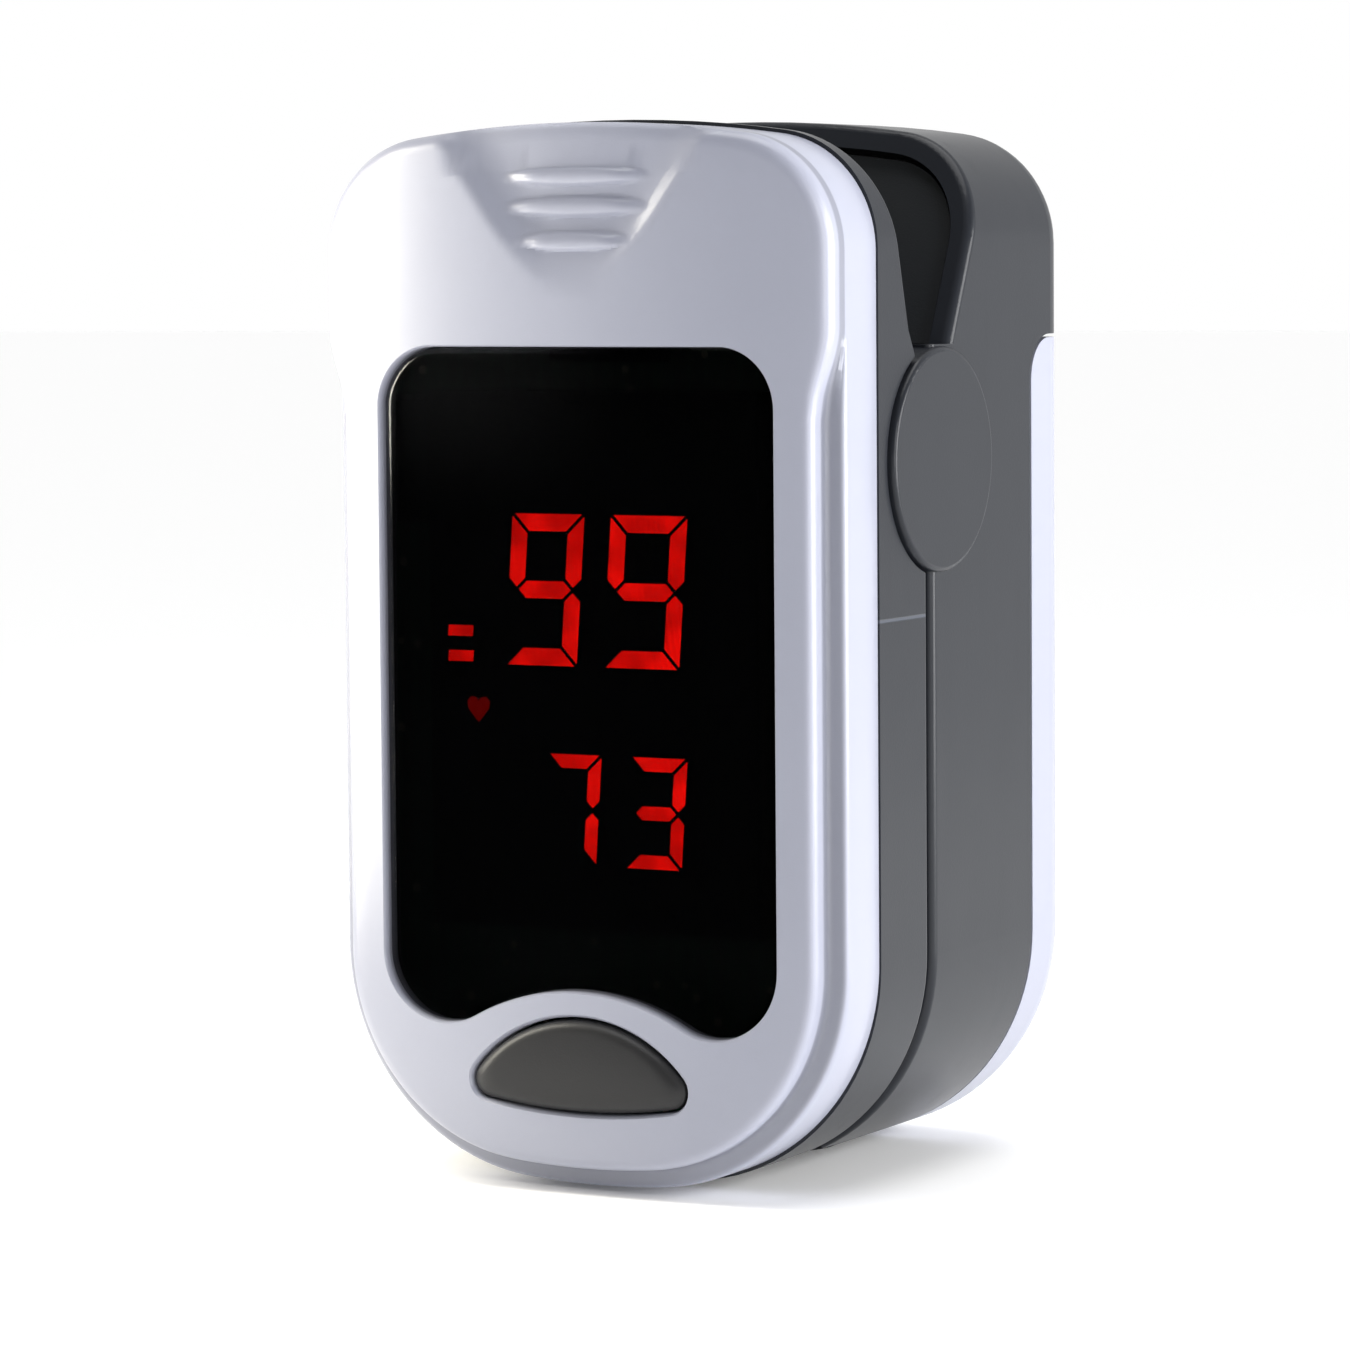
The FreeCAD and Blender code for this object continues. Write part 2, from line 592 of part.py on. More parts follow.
def make_front_shell():
    body = new_body("front_shell")
    depth = dim("part_front") - dim("cover_rear")
    sketch = new_sketch(body, "XZ_Plane", dim("cover_rear"))
    Outline("front", 0).draw(sketch)
    pad(body, sketch, depth)
    rear = num("part_front")
    round_edges(body, dim("seam_round"), lambda p: abs(p.y - rear) < 1e-4)
    # slanted edge of the squeeze gap, from just above the hinge disc to the top
    top = dim("gap_bottom_z") + 16
    slant_top = dim("gap_front_y") - dim("gap_front_slope") * 16
    sketch = new_sketch(body, "YZ_Plane", -20)
    low = dim("gap_bottom_z") - 1.4
    add_polygon(sketch, [(dim("gap_front_y"), dim("gap_bottom_z")), (slant_top, top),
                         (2, top), (2, low), (dim("gap_front_y") + 0.8, low)])
    pocket(body, sketch, 40)
    round_slanted_edge(body, dim("lip_round"), num("gap_front_y"), -num("gap_front_slope"))
    sketch = new_sketch(body, "XZ_Plane", dim("cover_rear"))
    Outline("front", dim("shell_wall")).draw(sketch)
    pocket(body, sketch, depth)
    # narrow slit under each hinge disc, where the seam widens
    sketch = new_sketch(body, "YZ_Plane", -20)
    add_box(sketch, dim("part_front") - dim("slit_depth"), dim("part_front") + 1, 31.5, 35)
    pocket(body, sketch, 40)
    # round notch on each side for the hinge disc
    sketch = new_sketch(body, "YZ_Plane", -20)
    add_circle(sketch, dim("hinge_y"), dim("hinge_z"), dim("disc_radius") + dim("disc_gap"))
    pocket(body, sketch, 40)
    # hinge ear inside each side wall, with its bore
    for side in (-1, 1):
        inner_face = 12.2 if side > 0 else -14.0
        sketch = new_sketch(body, "YZ_Plane", inner_face)
        add_box(sketch, dim("cover_rear") + 0.1, dim("hinge_y"), dim("hinge_z") - dim("ear_radius"),
                dim("hinge_z") + dim("ear_radius"))
        pad(body, sketch, 1.8)
        sketch = new_sketch(body, "YZ_Plane", inner_face)
        add_circle(sketch, dim("hinge_y"), dim("hinge_z"), dim("ear_radius"))
        pad(body, sketch, 1.8)
        root_low = 13.9 if side > 0 else -15.0
        sketch = new_sketch(body, "YZ_Plane", root_low)
        add_box(sketch, dim("cover_rear") + 0.1, -8.7, dim("hinge_z") - dim("ear_radius"),
                dim("hinge_z") + dim("ear_radius"))
        pad(body, sketch, 1.1)
        sketch = new_sketch(body, "YZ_Plane", inner_face)
        add_circle(sketch, dim("hinge_y"), dim("hinge_z"), dim("pin_radius") + dim("pin_play"))
        pocket(body, sketch, 1.8)
    cut_mouth(body)
    return body


def hat_section(side, wing_y, floor_y, z_low, z_high):
    """A trough with side wings, open towards the finger; side is -1 in front, +1 behind."""
    thick = num("tray_thick")
    inner = num("trough_half_width")
    outer = inner + thick
    far = floor_y + side * thick
    wing_far = wing_y + side * thick
    corners = [(-20, wing_y), (-inner, wing_y), (-inner, floor_y), (inner, floor_y),
               (inner, wing_y), (20, wing_y), (20, wing_far), (outer, wing_far),
               (outer, far), (-outer, far), (-outer, wing_far), (-20, wing_far)]
    points = [FreeCAD.Vector(x, y, z_low) for x, y in corners]
    face = Part.Face(Part.makePolygon(points + points[:1]))
    return face.extrude(FreeCAD.Vector(0, 0, z_high - z_low))


def slanted_panel(face_y, slope, side):
    """Closing panel of the squeeze gap, from the hinge region to the top."""
    foot = num("gap_bottom_z")
    tip = 62.0
    tip_y = face_y + slope * (tip - foot)
    thick = side * num("panel_thick")
    corners = [(face_y, foot - 1), (face_y, foot), (tip_y, tip), (tip_y + thick, tip),
               (face_y + thick, foot), (face_y + thick, foot - 1)]
    return side_profile(corners, -20, 20)


def panel_groove(y_low, y_high):
    """Ring that keeps a slanted panel clear of the shell around the squeeze gap."""
    wall = num("shell_wall")
    ring = outline_prism("shell", wall - 0.5, y_low, y_high)
    ring = ring.cut(outline_prism("shell", wall + num("panel_groove"), y_low - 1, y_high + 1))
    return ring.common(solid_box(-20, 20, y_low, y_high, num("gap_bottom_z") + 0.6, 70))


def make_front_tray():
    floor = num("tray_front_y")
    back = floor - num("tray_thick")
    end = num("trough_end")
    foot = num("gap_bottom_z")
    face_y = num("gap_front_y") - num("panel_recess")
    outer = num("trough_half_width") + num("tray_thick")
    shape = hat_section(-1, num("wing_front_y"), floor, -1, end)
    shape = shape.fuse(solid_box(-outer, outer, back, num("wing_front_y"), end - 0.01, end + 1))
    shape = shape.fuse(solid_box(-11.9, 11.9, back, floor, end, foot))
    shape = shape.fuse(solid_box(-11.9, 11.9, back, face_y, foot - 1, foot))
    shape = shape.fuse(slanted_panel(face_y, -num("gap_front_slope"), -1))
    joint_y = num("cover_rear") + 0.05
    bound = outline_prism("front", num("shell_wall") + 0.05, joint_y, -2)
    bound = bound.fuse(outline_prism("cover", num("cover_wall") + 0.05, -14, joint_y))
    shape = shape.common(bound)
    shape = shape.cut(panel_groove(-14, 0))
    # the wings end below the hinge ears, and the panel starts above them
    for side in (-1, 1):
        low, high = sorted((side * 11.9, side * 16))
        shape = shape.cut(solid_box(low, high, -14, 0, end + 1, foot + 0.2))
    shape = shape.cut(solid_box(-3.2, 3.2, -14, 0, 15.8, 24.2))
    shape = shape.cut(solid_box(-3.0, 3.0, -9.5, -8.0, 36.8, 38.2))
    shape = shape.cut(solid_box(-16, 16, -14, 0, -2, 1.6))
    return plain_feature("front_tray", shape.removeSplitter())


def pad_shape(y_low, y_high, window_low, window_high):
    """Silicone liner: a block hollowed by an oval tunnel that is closed at the fingertip."""
    half = num("pad_half_width")
    end = num("pad_end")
    block = solid_box(-half, half, y_low, y_high, 0, end)
    block = block.common(outline_prism("shell", num("shell_wall") + 0.25, -12, 6))
    # the lip that lines the mouth of the finger hole
    lip_half = num("mouth_half_width") - 0.05
    low, high = num("mouth_front") + 0.05, num("mouth_back") - 0.05
    lip = solid_box(-lip_half, lip_half, low, high, 0.4, 2.6)
    corners = [e for e in lip.Edges if abs(e.tangentAt(0).z) > 0.9]
    lip = lip.makeFillet(num("mouth_corner") - 0.05, corners)
    lip = lip.common(outline_prism("shell", 0.5, low, high))
    block = block.fuse(lip.common(solid_box(-20, 20, y_low, y_high, 0, 3)))
    centre = FreeCAD.Vector(0, num("tunnel_y"), -2)
    across = centre + FreeCAD.Vector(num("tunnel_half_width"), 0, 0)
    deep = centre + FreeCAD.Vector(0, num("tunnel_half_depth"), 0)
    oval = Part.Ellipse(across, deep, centre)
    tunnel = Part.Face(Part.Wire(oval.toShape())).extrude(FreeCAD.Vector(0, 0, end - 0.4))
    block = block.cut(tunnel)
    return block.cut(solid_box(-3, 3, window_low, window_high, 16, 24)).removeSplitter()


def make_pads():
    upper = pad_shape(num("tray_front_y"), -3.6, -9, -5)
    lower = pad_shape(-2.6, num("tray_back_y"), -1, 3)
    plain_feature("upper_finger_pad", upper)
    plain_feature("lower_finger_pad", lower)


def make_main_board():
    front = num("board_front")
    back = front + num("board_thick")
    board = outline_prism("cover", 1.6, front, back)
    board = board.common(solid_box(-20, 20, front, back, 3.4, 53))
    for side in (-1, 1):
        board = board.cut(rod(side * SCREW_X, front - 1, SCREW_Z, 1.0, 4, (0, 1, 0)))
    board = board.cut(solid_box(12.0, 16, -11, -9, 36.5, 43.7))
    board = board.cut(solid_box(-16, -12.0, -11, -9, 36.5, 43.7))
    plain_feature("main_board", board)


def make_board_screws():
    screws = []
    head_y = num("board_front") + num("board_thick")
    for side in (-1, 1):
        head = rod(side * SCREW_X, head_y, SCREW_Z, 1.45, 0.7, (0, 1, 0))
        slot = solid_box(side * SCREW_X - 0.15, side * SCREW_X + 0.15, head_y + 0.4, head_y + 1,
                         SCREW_Z - 0.9, SCREW_Z + 0.9)
        cross = solid_box(side * SCREW_X - 0.9, side * SCREW_X + 0.9, head_y + 0.4, head_y + 1,
                          SCREW_Z - 0.15, SCREW_Z + 0.15)
        shank = rod(side * SCREW_X, head_y - 3.0, SCREW_Z, 0.75, 3.0, (0, 1, 0))
        screws.append(head.cut(slot).cut(cross).fuse(shank))
    plain_feature("board_screws", Part.makeCompound(screws))


# seven-segment masks in the order top, upper right, lower right, bottom, lower left,
# upper left, middle
DIGITS = {"9": (1, 1, 1, 1, 0, 1, 1), "7": (1, 1, 1, 0, 0, 0, 0), "3": (1, 1, 1, 1, 0, 0, 1)}


SEGMENT_GAP = 0.16
SLANT = 0.07
# figure, lower left corner x and z, width, height and stroke
FIGURES = (("9", -5.45, 28.95, 4.5, 8.35, 0.95), ("9", 0.75, 28.95, 4.7, 8.35, 0.95),
           ("7", -3.2, 18.0, 3.35, 6.1, 0.75), ("3", 2.0, 18.0, 3.5, 6.1, 0.75))


def digit_segments(figure, x, z, width, height, stroke):
    """Lit segments of one slanted figure; x, z is its lower left corner."""
    gap = SEGMENT_GAP
    middle = height / 2
    half = stroke / 2
    inner = gap + stroke
    flat = [(gap, height), (width - gap, height), (width - inner, height - stroke),
            (inner, height - stroke)]
    upright = [(width, height - gap), (width - stroke, height - inner),
               (width - stroke, middle + gap + half), (width - half, middle + gap),
               (width, middle + gap + half)]
    bridge = [(gap + half, middle), (inner, middle + half), (width - inner, middle + half),
              (width - gap - half, middle), (width - inner, middle - half),
              (inner, middle - half)]

    def turned(corners):
        return [(width - px, height - pz) for px, pz in corners]

    def upturned(corners):
        return [(px, height - pz) for px, pz in corners]

    def mirrored(corners):
        return [(width - px, pz) for px, pz in corners]

    segments = (flat, upright, upturned(upright), turned(flat), turned(upright),
                mirrored(upright), bridge)
    return [[(x + px + SLANT * pz, z + pz) for px, pz in corners]
            for lit, corners in zip(DIGITS[figure], segments) if lit]


def front_plate(corners, y_low, thick):
    points = [FreeCAD.Vector(x, y_low, z) for x, z in corners]
    return Part.Face(Part.makePolygon(points + points[:1])).extrude(FreeCAD.Vector(0, thick, 0))


def make_display_digits():
    y = num("module_front") - 0.08
    bars = []
    for figure in FIGURES:
        for corners in digit_segments(*figure):
            bars.append(front_plate(corners, y, 0.08))
    plain_feature("display_digits", Part.makeCompound(bars))
    pulse = [front_plate([(-9.1, z), (-7.55, z), (-7.5, z + 0.6), (-9.05, z + 0.6)], y, 0.08)
             for z in (29.05, 30.45)]
    plain_feature("pulse_bars", Part.makeCompound(pulse))
    heart = [(-7.2, 25.7), (-6.55, 26.45), (-6.5, 26.85), (-6.75, 27.1), (-7.05, 27.05),
             (-7.2, 26.8), (-7.35, 27.05), (-7.65, 27.1), (-7.9, 26.85), (-7.85, 26.45)]
    plain_feature("heart_icon", front_plate(heart, y, 0.08))


def make_board_parts():
    front = num("board_front")
    back = front + num("board_thick")
    module = solid_box(-10.3, 10.3, num("module_front"), front, 14.4, 44.0)
    plain_feature("display_module", module)
    switch = solid_box(-2.2, 2.2, front - 1.3, front, 4.7, 9.1)
    switch = switch.cut(rod(0, front - 1.5, 6.9, 1.0, 1.2, (0, 1, 0)))
    plain_feature("switch_body", switch)
    tip = num("cover_front") + num("cover_front_wall") + 1.55
    plain_feature("switch_plunger", rod(0, tip, 6.9, 0.9, front - 0.9 - tip, (0, 1, 0)))
    plain_feature("controller_chip", solid_box(-3.5, 3.5, front - 1.0, front, 45.6, 52.6))
    can = solid_box(5.2, 8.4, front - 0.9, front, 46.2, 48.7)
    uprights = [e for e in can.Edges if abs(e.tangentAt(0).y) > 0.9]
    plain_feature("crystal_can", can.makeFillet(0.3, uprights))
    chips = [solid_box(x, x + 1.6, front - 0.6, front, z, z + 0.8)
             for x, z in ((-8.2, 46.4), (-8.2, 48.0), (-8.2, 49.6), (5.4, 50.2), (7.6, 50.2))]
    plain_feature("board_capacitors", Part.makeCompound(chips))
    plain_feature("emitter_led", solid_box(-1.7, 1.7, back, back + 0.8, 18.6, 21.4))
    plain_feature("emitter_window", solid_box(-2.95, 2.95, -8.3, -7.3, 16.05, 23.95))


# ---------------------------------------------------------------- battery half

def make_back_shell():
    body = new_body("back_shell")
    sketch = new_sketch(body, "XZ_Plane", dim("part_back"))
    Outline("shell", 0).draw(sketch)
    pad(body, sketch, dim("back_face") - dim("part_back"))
    rear = num("back_face")
    round_edges(body, dim("back_edge_round"), lambda p: abs(p.y - rear) < 1e-4)
    front = num("part_back")
    round_edges(body, dim("seam_round"), lambda p: abs(p.y - front) < 1e-4)
    # space taken by the battery door, with a rounded upper corner
    ledge = dim("door_top") + dim("door_gap")
    sketch = new_sketch(body, "XZ_Plane", dim("door_front"))
    add_box(sketch, -20, 20, -5, ledge)
    pocket(body, sketch, 10)
    corner = (num("door_front"), ledge.number)
    round_edges(body, dim("door_corner") + dim("door_gap"),
                lambda p: math.hypot(p.y - corner[0], p.z - corner[1]) < 1e-4)
    # slanted edge of the squeeze gap
    top = dim("gap_bottom_z") + 16
    slant_top = dim("gap_back_y") + dim("gap_back_slope") * 16
    sketch = new_sketch(body, "YZ_Plane", -20)
    add_polygon(sketch, [(dim("gap_back_y"), dim("gap_bottom_z")), (-5, dim("gap_bottom_z")),
                         (-5, top), (slant_top, top)])
    pocket(body, sketch, 40)
    round_slanted_edge(body, dim("rim_round"), num("gap_back_y"), num("gap_back_slope"))
    sketch = new_sketch(body, "XZ_Plane", dim("part_back"))
    Outline("shell", dim("shell_wall")).draw(sketch)
    pocket(body, sketch, dim("back_face") - dim("part_back") - dim("shell_wall"))
    # round lobes that carry the hinge caps
    for side in (-1, 1):
        low = dim("shell_half_width") - dim("shell_wall") if side > 0 else -dim("shell_half_width")
        sketch = new_sketch(body, "YZ_Plane", low)
        add_circle(sketch, dim("hinge_y"), dim("hinge_z"), dim("disc_radius"))
        pad(body, sketch, dim("shell_wall"))
        sketch = new_sketch(body, "YZ_Plane", low)
        add_circle(sketch, dim("hinge_y"), dim("hinge_z"), 2.0)
        pocket(body, sketch, dim("shell_wall"))
        # rail for the door hooks, inside each side wall
        low_x, high_x = (13.9, 14.65) if side > 0 else (-14.65, -13.9)
        sketch = new_sketch(body, "XY_Plane", 14)
        add_box(sketch, low_x, high_x, 8.0, 9.7)
        pad(body, sketch, 34)
        low_x, high_x = (13.9, 14.5) if side > 0 else (-14.5, -13.9)
        sketch = new_sketch(body, "XY_Plane", 14)
        add_box(sketch, low_x, high_x, 8.0, 11.6)
        pad(body, sketch, 34)
        sketch = new_sketch(body, "XY_Plane", 43.6)
        add_box(sketch, low_x, high_x, 11.0, 13.6)
        pad(body, sketch, 4)
        low_x, high_x = (13.4, 14.0) if side > 0 else (-14.0, -13.4)
        sketch = new_sketch(body, "XY_Plane", 14)
        add_box(sketch, low_x, high_x, 11.0, 11.6)
        pad(body, sketch, 31)
    cut_mouth(body)
    return body


def make_battery_door():
    body = new_body("battery_door")
    front = dim("door_front") + dim("door_gap")
    sketch = new_sketch(body, "XZ_Plane", front)
    Outline("shell", 0).draw(sketch)
    pad(body, sketch, dim("back_face") - front)
    rear = num("back_face")
    round_edges(body, dim("back_edge_round"), lambda p: abs(p.y - rear) < 1e-4)
    sketch = new_sketch(body, "XZ_Plane", front)
    add_box(sketch, -20, 20, dim("door_top"), 70)
    pocket(body, sketch, 10)
    corner = (front.number, num("door_top"))
    round_edges(body, dim("door_corner"),
                lambda p: math.hypot(p.y - corner[0], p.z - corner[1]) < 1e-4)
    sketch = new_sketch(body, "XZ_Plane", front)
    Outline("shell", dim("door_wall")).draw(sketch)
    pocket(body, sketch, dim("back_face") - front - dim("door_wall"))
    for side in (-1, 1):
        low_x, high_x = (12.5, 13.05) if side > 0 else (-13.05, -12.5)
        sketch = new_sketch(body, "XY_Plane", 16)
        add_box(sketch, low_x, high_x, 10.05, 14.0)
        pad(body, sketch, 27)
        low_x, high_x = (13.0, 13.65) if side > 0 else (-13.65, -13.0)
        sketch = new_sketch(body, "XY_Plane", 16)
        add_box(sketch, low_x, high_x, 10.05, 10.65)
        pad(body, sketch, 27)
    return body


def make_back_tray():
    floor = num("tray_back_y")
    back = floor + num("tray_thick")
    end = num("trough_end")
    foot = num("gap_bottom_z")
    face_y = num("gap_back_y") + num("panel_recess")
    outer = num("trough_half_width") + num("tray_thick")
    hinge_y, hinge_z = num("hinge_y"), num("hinge_z")
    shape = hat_section(1, num("wing_back_y"), floor, -1, end)
    shape = shape.fuse(solid_box(-outer, outer, num("wing_back_y"), back, end - 0.01, end + 1))
    shape = shape.fuse(solid_box(-14.4, 14.4, floor, back, end, foot))
    shape = shape.fuse(solid_box(-14.4, 14.4, face_y, back, foot - 1, foot))
    shape = shape.fuse(slanted_panel(face_y, num("gap_back_slope"), 1))
    shape = shape.fuse(solid_box(-11, 11, 3.3, 9.6, num("bay_top"), num("bay_top") + 0.8))
    bound = outline_prism("shell", num("shell_wall") + 0.05, -4, 13.6)
    shape = shape.common(bound)
    shape = shape.cut(panel_groove(-4, 13))
    shape = shape.cut(solid_box(-16, 16, -4, 20, -2, 1.6))
    shape = shape.fuse(solid_box(-8.8, 8.8, floor, 9.6, num("bay_bottom") - 0.8, num("bay_bottom")))
    ear = num("ear_radius")
    for side in (-1, 1):
        x = 9.8 if side > 0 else -11.8
        shape = shape.fuse(solid_box(x, x + 2, hinge_y, floor + 0.5, hinge_z - ear, hinge_z + ear))
        shape = shape.fuse(rod(x, hinge_y, hinge_z, ear, 2, (1, 0, 0)))
        shape = shape.cut(rod(x - 1, hinge_y, hinge_z, num("pin_radius"), 4, (1, 0, 0)))
    shape = shape.cut(solid_box(-4.8, 4.8, -1, 4, 14.2, 25.8))
    shape = shape.cut(solid_box(-3.0, 3.0, 1.5, 3.5, 36.8, 38.2))
    return plain_feature("back_tray", shape.removeSplitter())


def make_cell(label, x, low, up):
    length, nub = num("cell_length"), num("nub_length")
    radius, nub_radius = num("cell_radius"), num("nub_radius")
    start = low if up else low + nub
    can = rod(x, num("cell_y"), start, radius, length, (0, 0, 1))
    rims = [e for e in can.Edges if e.Length > 20 and e.Closed]
    can = can.makeFillet(0.5, rims)
    nub_z = start + length if up else low
    tip = rod(x, num("cell_y"), nub_z, nub_radius, nub, (0, 0, 1))
    plain_feature(label, can.fuse(tip))


def coil(radius_low, radius_high, wire, turns, height):
    """A coil about +Z from z = 0, as a pipe swept along a helix."""
    pitch = height / turns
    angle = math.degrees(math.atan2(radius_high - radius_low, height))
    path = Part.makeLongHelix(pitch, height, radius_low, angle)
    start = path.Edges[0].valueAt(path.Edges[0].FirstParameter)
    tangent = path.Edges[0].tangentAt(path.Edges[0].FirstParameter)
    profile = Part.Wire(Part.makeCircle(wire, start, tangent))
    return Part.Wire(path.Edges).makePipeShell([profile], True, True)


def make_cell_contacts():
    x, y = num("cell_x"), num("cell_y")
    low, high = num("bay_bottom"), num("bay_top")
    plate_y = (5.0, 9.4)
    bridge = solid_box(-8.6, 8.6, plate_y[0], plate_y[1], low, low + 0.35)
    plain_feature("contact_bridge", bridge)
    for label, centre in (("contact_positive", -x), ("contact_negative", x)):
        plate = solid_box(centre - 3.4, centre + 3.4, plate_y[0], plate_y[1], high - 0.35, high)
        tab = solid_box(centre - 0.8, centre + 0.8, plate_y[1] - 0.3, plate_y[1] + 0.9, high - 0.35, high)
        plain_feature(label, plate.fuse(tab))
    spring = coil(2.3, 1.5, 0.25, 2.5, 1.2)
    upright = FreeCAD.Rotation()
    flipped = FreeCAD.Rotation(FreeCAD.Vector(1, 0, 0), 180)
    lower = FreeCAD.Placement(FreeCAD.Vector(-x, 7.4, low + 0.62), upright)
    upper = FreeCAD.Placement(FreeCAD.Vector(x, 7.4, high - 0.62), flipped)
    plain_feature("cell_spring_lower", spring, lower)
    plain_feature("cell_spring_upper", spring, upper)


def make_hinge():
    y, z = num("hinge_y"), num("hinge_z")
    half = num("shell_half_width")
    proud = num("disc_proud")
    wall = num("shell_wall")
    for side, name in ((-1, "left"), (1, "right")):
        out = (side, 0, 0)
        disc = rod(side * half, y, z, num("disc_radius"), proud, out)
        rim = [e for e in disc.Edges if e.Closed and abs(e.CenterOfMass.x) > half + proud - 0.01]
        disc = disc.makeFillet(0.3, rim)
        boss = rod(side * (half - wall - 0.4), y, z, 2.0, wall + 0.4, out)
        cap = disc.fuse(boss).cut(rod(side * 12, y, z, num("pin_radius"), half - 12.6, out))
        plain_feature("hinge_cap_" + name, cap)
        pin = rod(side * 5.8, y, z, num("pin_radius"), half - 0.65 - 5.8, out)
        plain_feature("hinge_pin_" + name, pin)
        turns = coil(1.85, 1.85, 0.28, 4, 2.6)
        turns.rotate(FreeCAD.Vector(0, 0, 0), FreeCAD.Vector(0, 1, 0), 90)
        turns.translate(FreeCAD.Vector(6.6 if side > 0 else -9.2, y, z))
        inner, outer = (6.6, 9.2) if side > 0 else (-9.2, -6.6)
        front_leg = rod(inner, y, z + 1.85, 0.28, 6.2, (0, -5.6, 3.6))
        back_leg = rod(outer, y, z + 1.85, 0.28, 4.6, (0, 3.2, 3.3))
        spring = turns.fuse(front_leg).fuse(back_leg)
        plain_feature("torsion_spring_" + name, spring)


def make_sensor():
    plain_feature("sensor_board", solid_box(-4.6, 4.6, 2.35, 2.95, 14.4, 25.6))
    plain_feature("photodiode", solid_box(-1.6, 1.6, 1.75, 2.35, 18.4, 21.6))
    plain_feature("sensor_window", solid_box(-2.95, 2.95, 0.9, 1.6, 16.05, 23.95))
    across = solid_box(-2.4, 2.4, -9.35, 3.1, 37.45, 37.55)
    down = solid_box(-2.4, 2.4, 3.0, 3.1, 24.4, 37.5)
    plain_feature("flex_cable", across.fuse(down).removeSplitter())


make_front_cover()
make_display_window()
make_power_button()
make_front_shell()
make_front_tray()
make_pads()
make_main_board()
make_board_screws()
make_display_digits()
make_board_parts()
make_back_shell()
make_battery_door()
make_back_tray()
make_cell("cell_left", -num("cell_x"), 6.3, True)
make_cell("cell_right", num("cell_x"), 4.6, False)
make_cell_contacts()
make_hinge()
make_sensor()

doc.recompute()
KINDS = ("PartDesign::Body", "Part::Feature")
nodes = [item for item in doc.Objects if item.TypeId in KINDS]
for item in doc.Objects:
    if "Invalid" in item.State or "Error" in item.State:
        raise ValueError("failed object " + item.Label)
os.makedirs("parts", exist_ok=True)
for node in nodes:
    if node.Shape.isNull() or not node.Shape.isValid():
        raise ValueError("bad shape " + node.Label)
    node.Shape.exportStep("parts/%s.step" % node.Label)
    box = node.Shape.BoundBox
    print("%-22s solids %d volume %8.1f  x %6.2f..%6.2f  y %6.2f..%6.2f  z %6.2f..%6.2f" % (
        node.Label, len(node.Shape.Solids), node.Shape.Volume,
        box.XMin, box.XMax, box.YMin, box.YMax, box.ZMin, box.ZMax))
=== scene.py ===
"""Looks and stage of the fingertip pulse oximeter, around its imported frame."""
import json
import math

import bmesh
import bpy
from bpy.props import FloatProperty, FloatVectorProperty, IntProperty, PointerProperty
from mathutils import Matrix, Vector

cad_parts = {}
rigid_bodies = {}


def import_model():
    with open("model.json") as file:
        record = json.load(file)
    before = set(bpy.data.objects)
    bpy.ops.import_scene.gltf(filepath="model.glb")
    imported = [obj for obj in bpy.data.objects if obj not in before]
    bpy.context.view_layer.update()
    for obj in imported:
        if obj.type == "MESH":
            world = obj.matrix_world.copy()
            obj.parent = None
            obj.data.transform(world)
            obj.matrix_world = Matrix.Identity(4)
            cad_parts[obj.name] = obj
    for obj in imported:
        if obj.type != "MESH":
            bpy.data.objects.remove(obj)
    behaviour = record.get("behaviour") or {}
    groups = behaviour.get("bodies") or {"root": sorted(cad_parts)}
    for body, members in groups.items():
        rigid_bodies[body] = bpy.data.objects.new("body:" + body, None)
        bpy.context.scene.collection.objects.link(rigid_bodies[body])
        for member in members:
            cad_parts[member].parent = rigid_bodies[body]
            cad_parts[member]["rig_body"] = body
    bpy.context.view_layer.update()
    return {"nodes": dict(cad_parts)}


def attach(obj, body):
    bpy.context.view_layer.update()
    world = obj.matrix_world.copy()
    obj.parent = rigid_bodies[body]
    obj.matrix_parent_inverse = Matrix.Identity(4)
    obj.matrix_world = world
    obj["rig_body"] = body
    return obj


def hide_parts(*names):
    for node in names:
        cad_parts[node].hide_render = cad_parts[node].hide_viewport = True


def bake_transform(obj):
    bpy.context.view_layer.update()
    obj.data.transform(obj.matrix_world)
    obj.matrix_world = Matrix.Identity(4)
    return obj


bl_info = {
    "name": "Pulse Oximeter",
    "version": (1, 0, 0),
    "blender": (4, 5, 0),
    "location": "View3D > Sidebar > Oximeter",
    "description": "Builds the covers, window, button, pads and finishes of a clip-on oximeter",
    "category": "Object",
}

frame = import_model()
MM = 0.001


# ------------------------------------------------------------------ settings

def colour(label, default, note):
    return FloatVectorProperty(name=label, description=note, default=default, size=3,
                               min=0.0, max=1.0, subtype="COLOR")


def length(label, default, note):
    return FloatProperty(name=label, description=note, default=default * MM,
                         unit="LENGTH", subtype="DISTANCE", precision=5)


class OximeterColours(bpy.types.PropertyGroup):
    cover: colour("Cover", (0.345, 0.358, 0.435), "Cool white of the front cover and battery door")
    shell: colour("Shell", (0.018, 0.020, 0.025), "Grey of the two shells and the hinge caps")
    slate: colour("Slate", (0.012, 0.014, 0.017), "Dark inner panels of the squeeze gap")
    button: colour("Button", (0.026, 0.026, 0.027), "Dark grey of the power button")
    silicone: colour("Silicone", (0.035, 0.036, 0.04), "Finger pads")
    lit: colour("Lit red", (1.0, 0.004, 0.002), "Lit figures of the display")
    floor: colour("Floor", (1.0, 1.0, 1.0), "Pale studio floor")


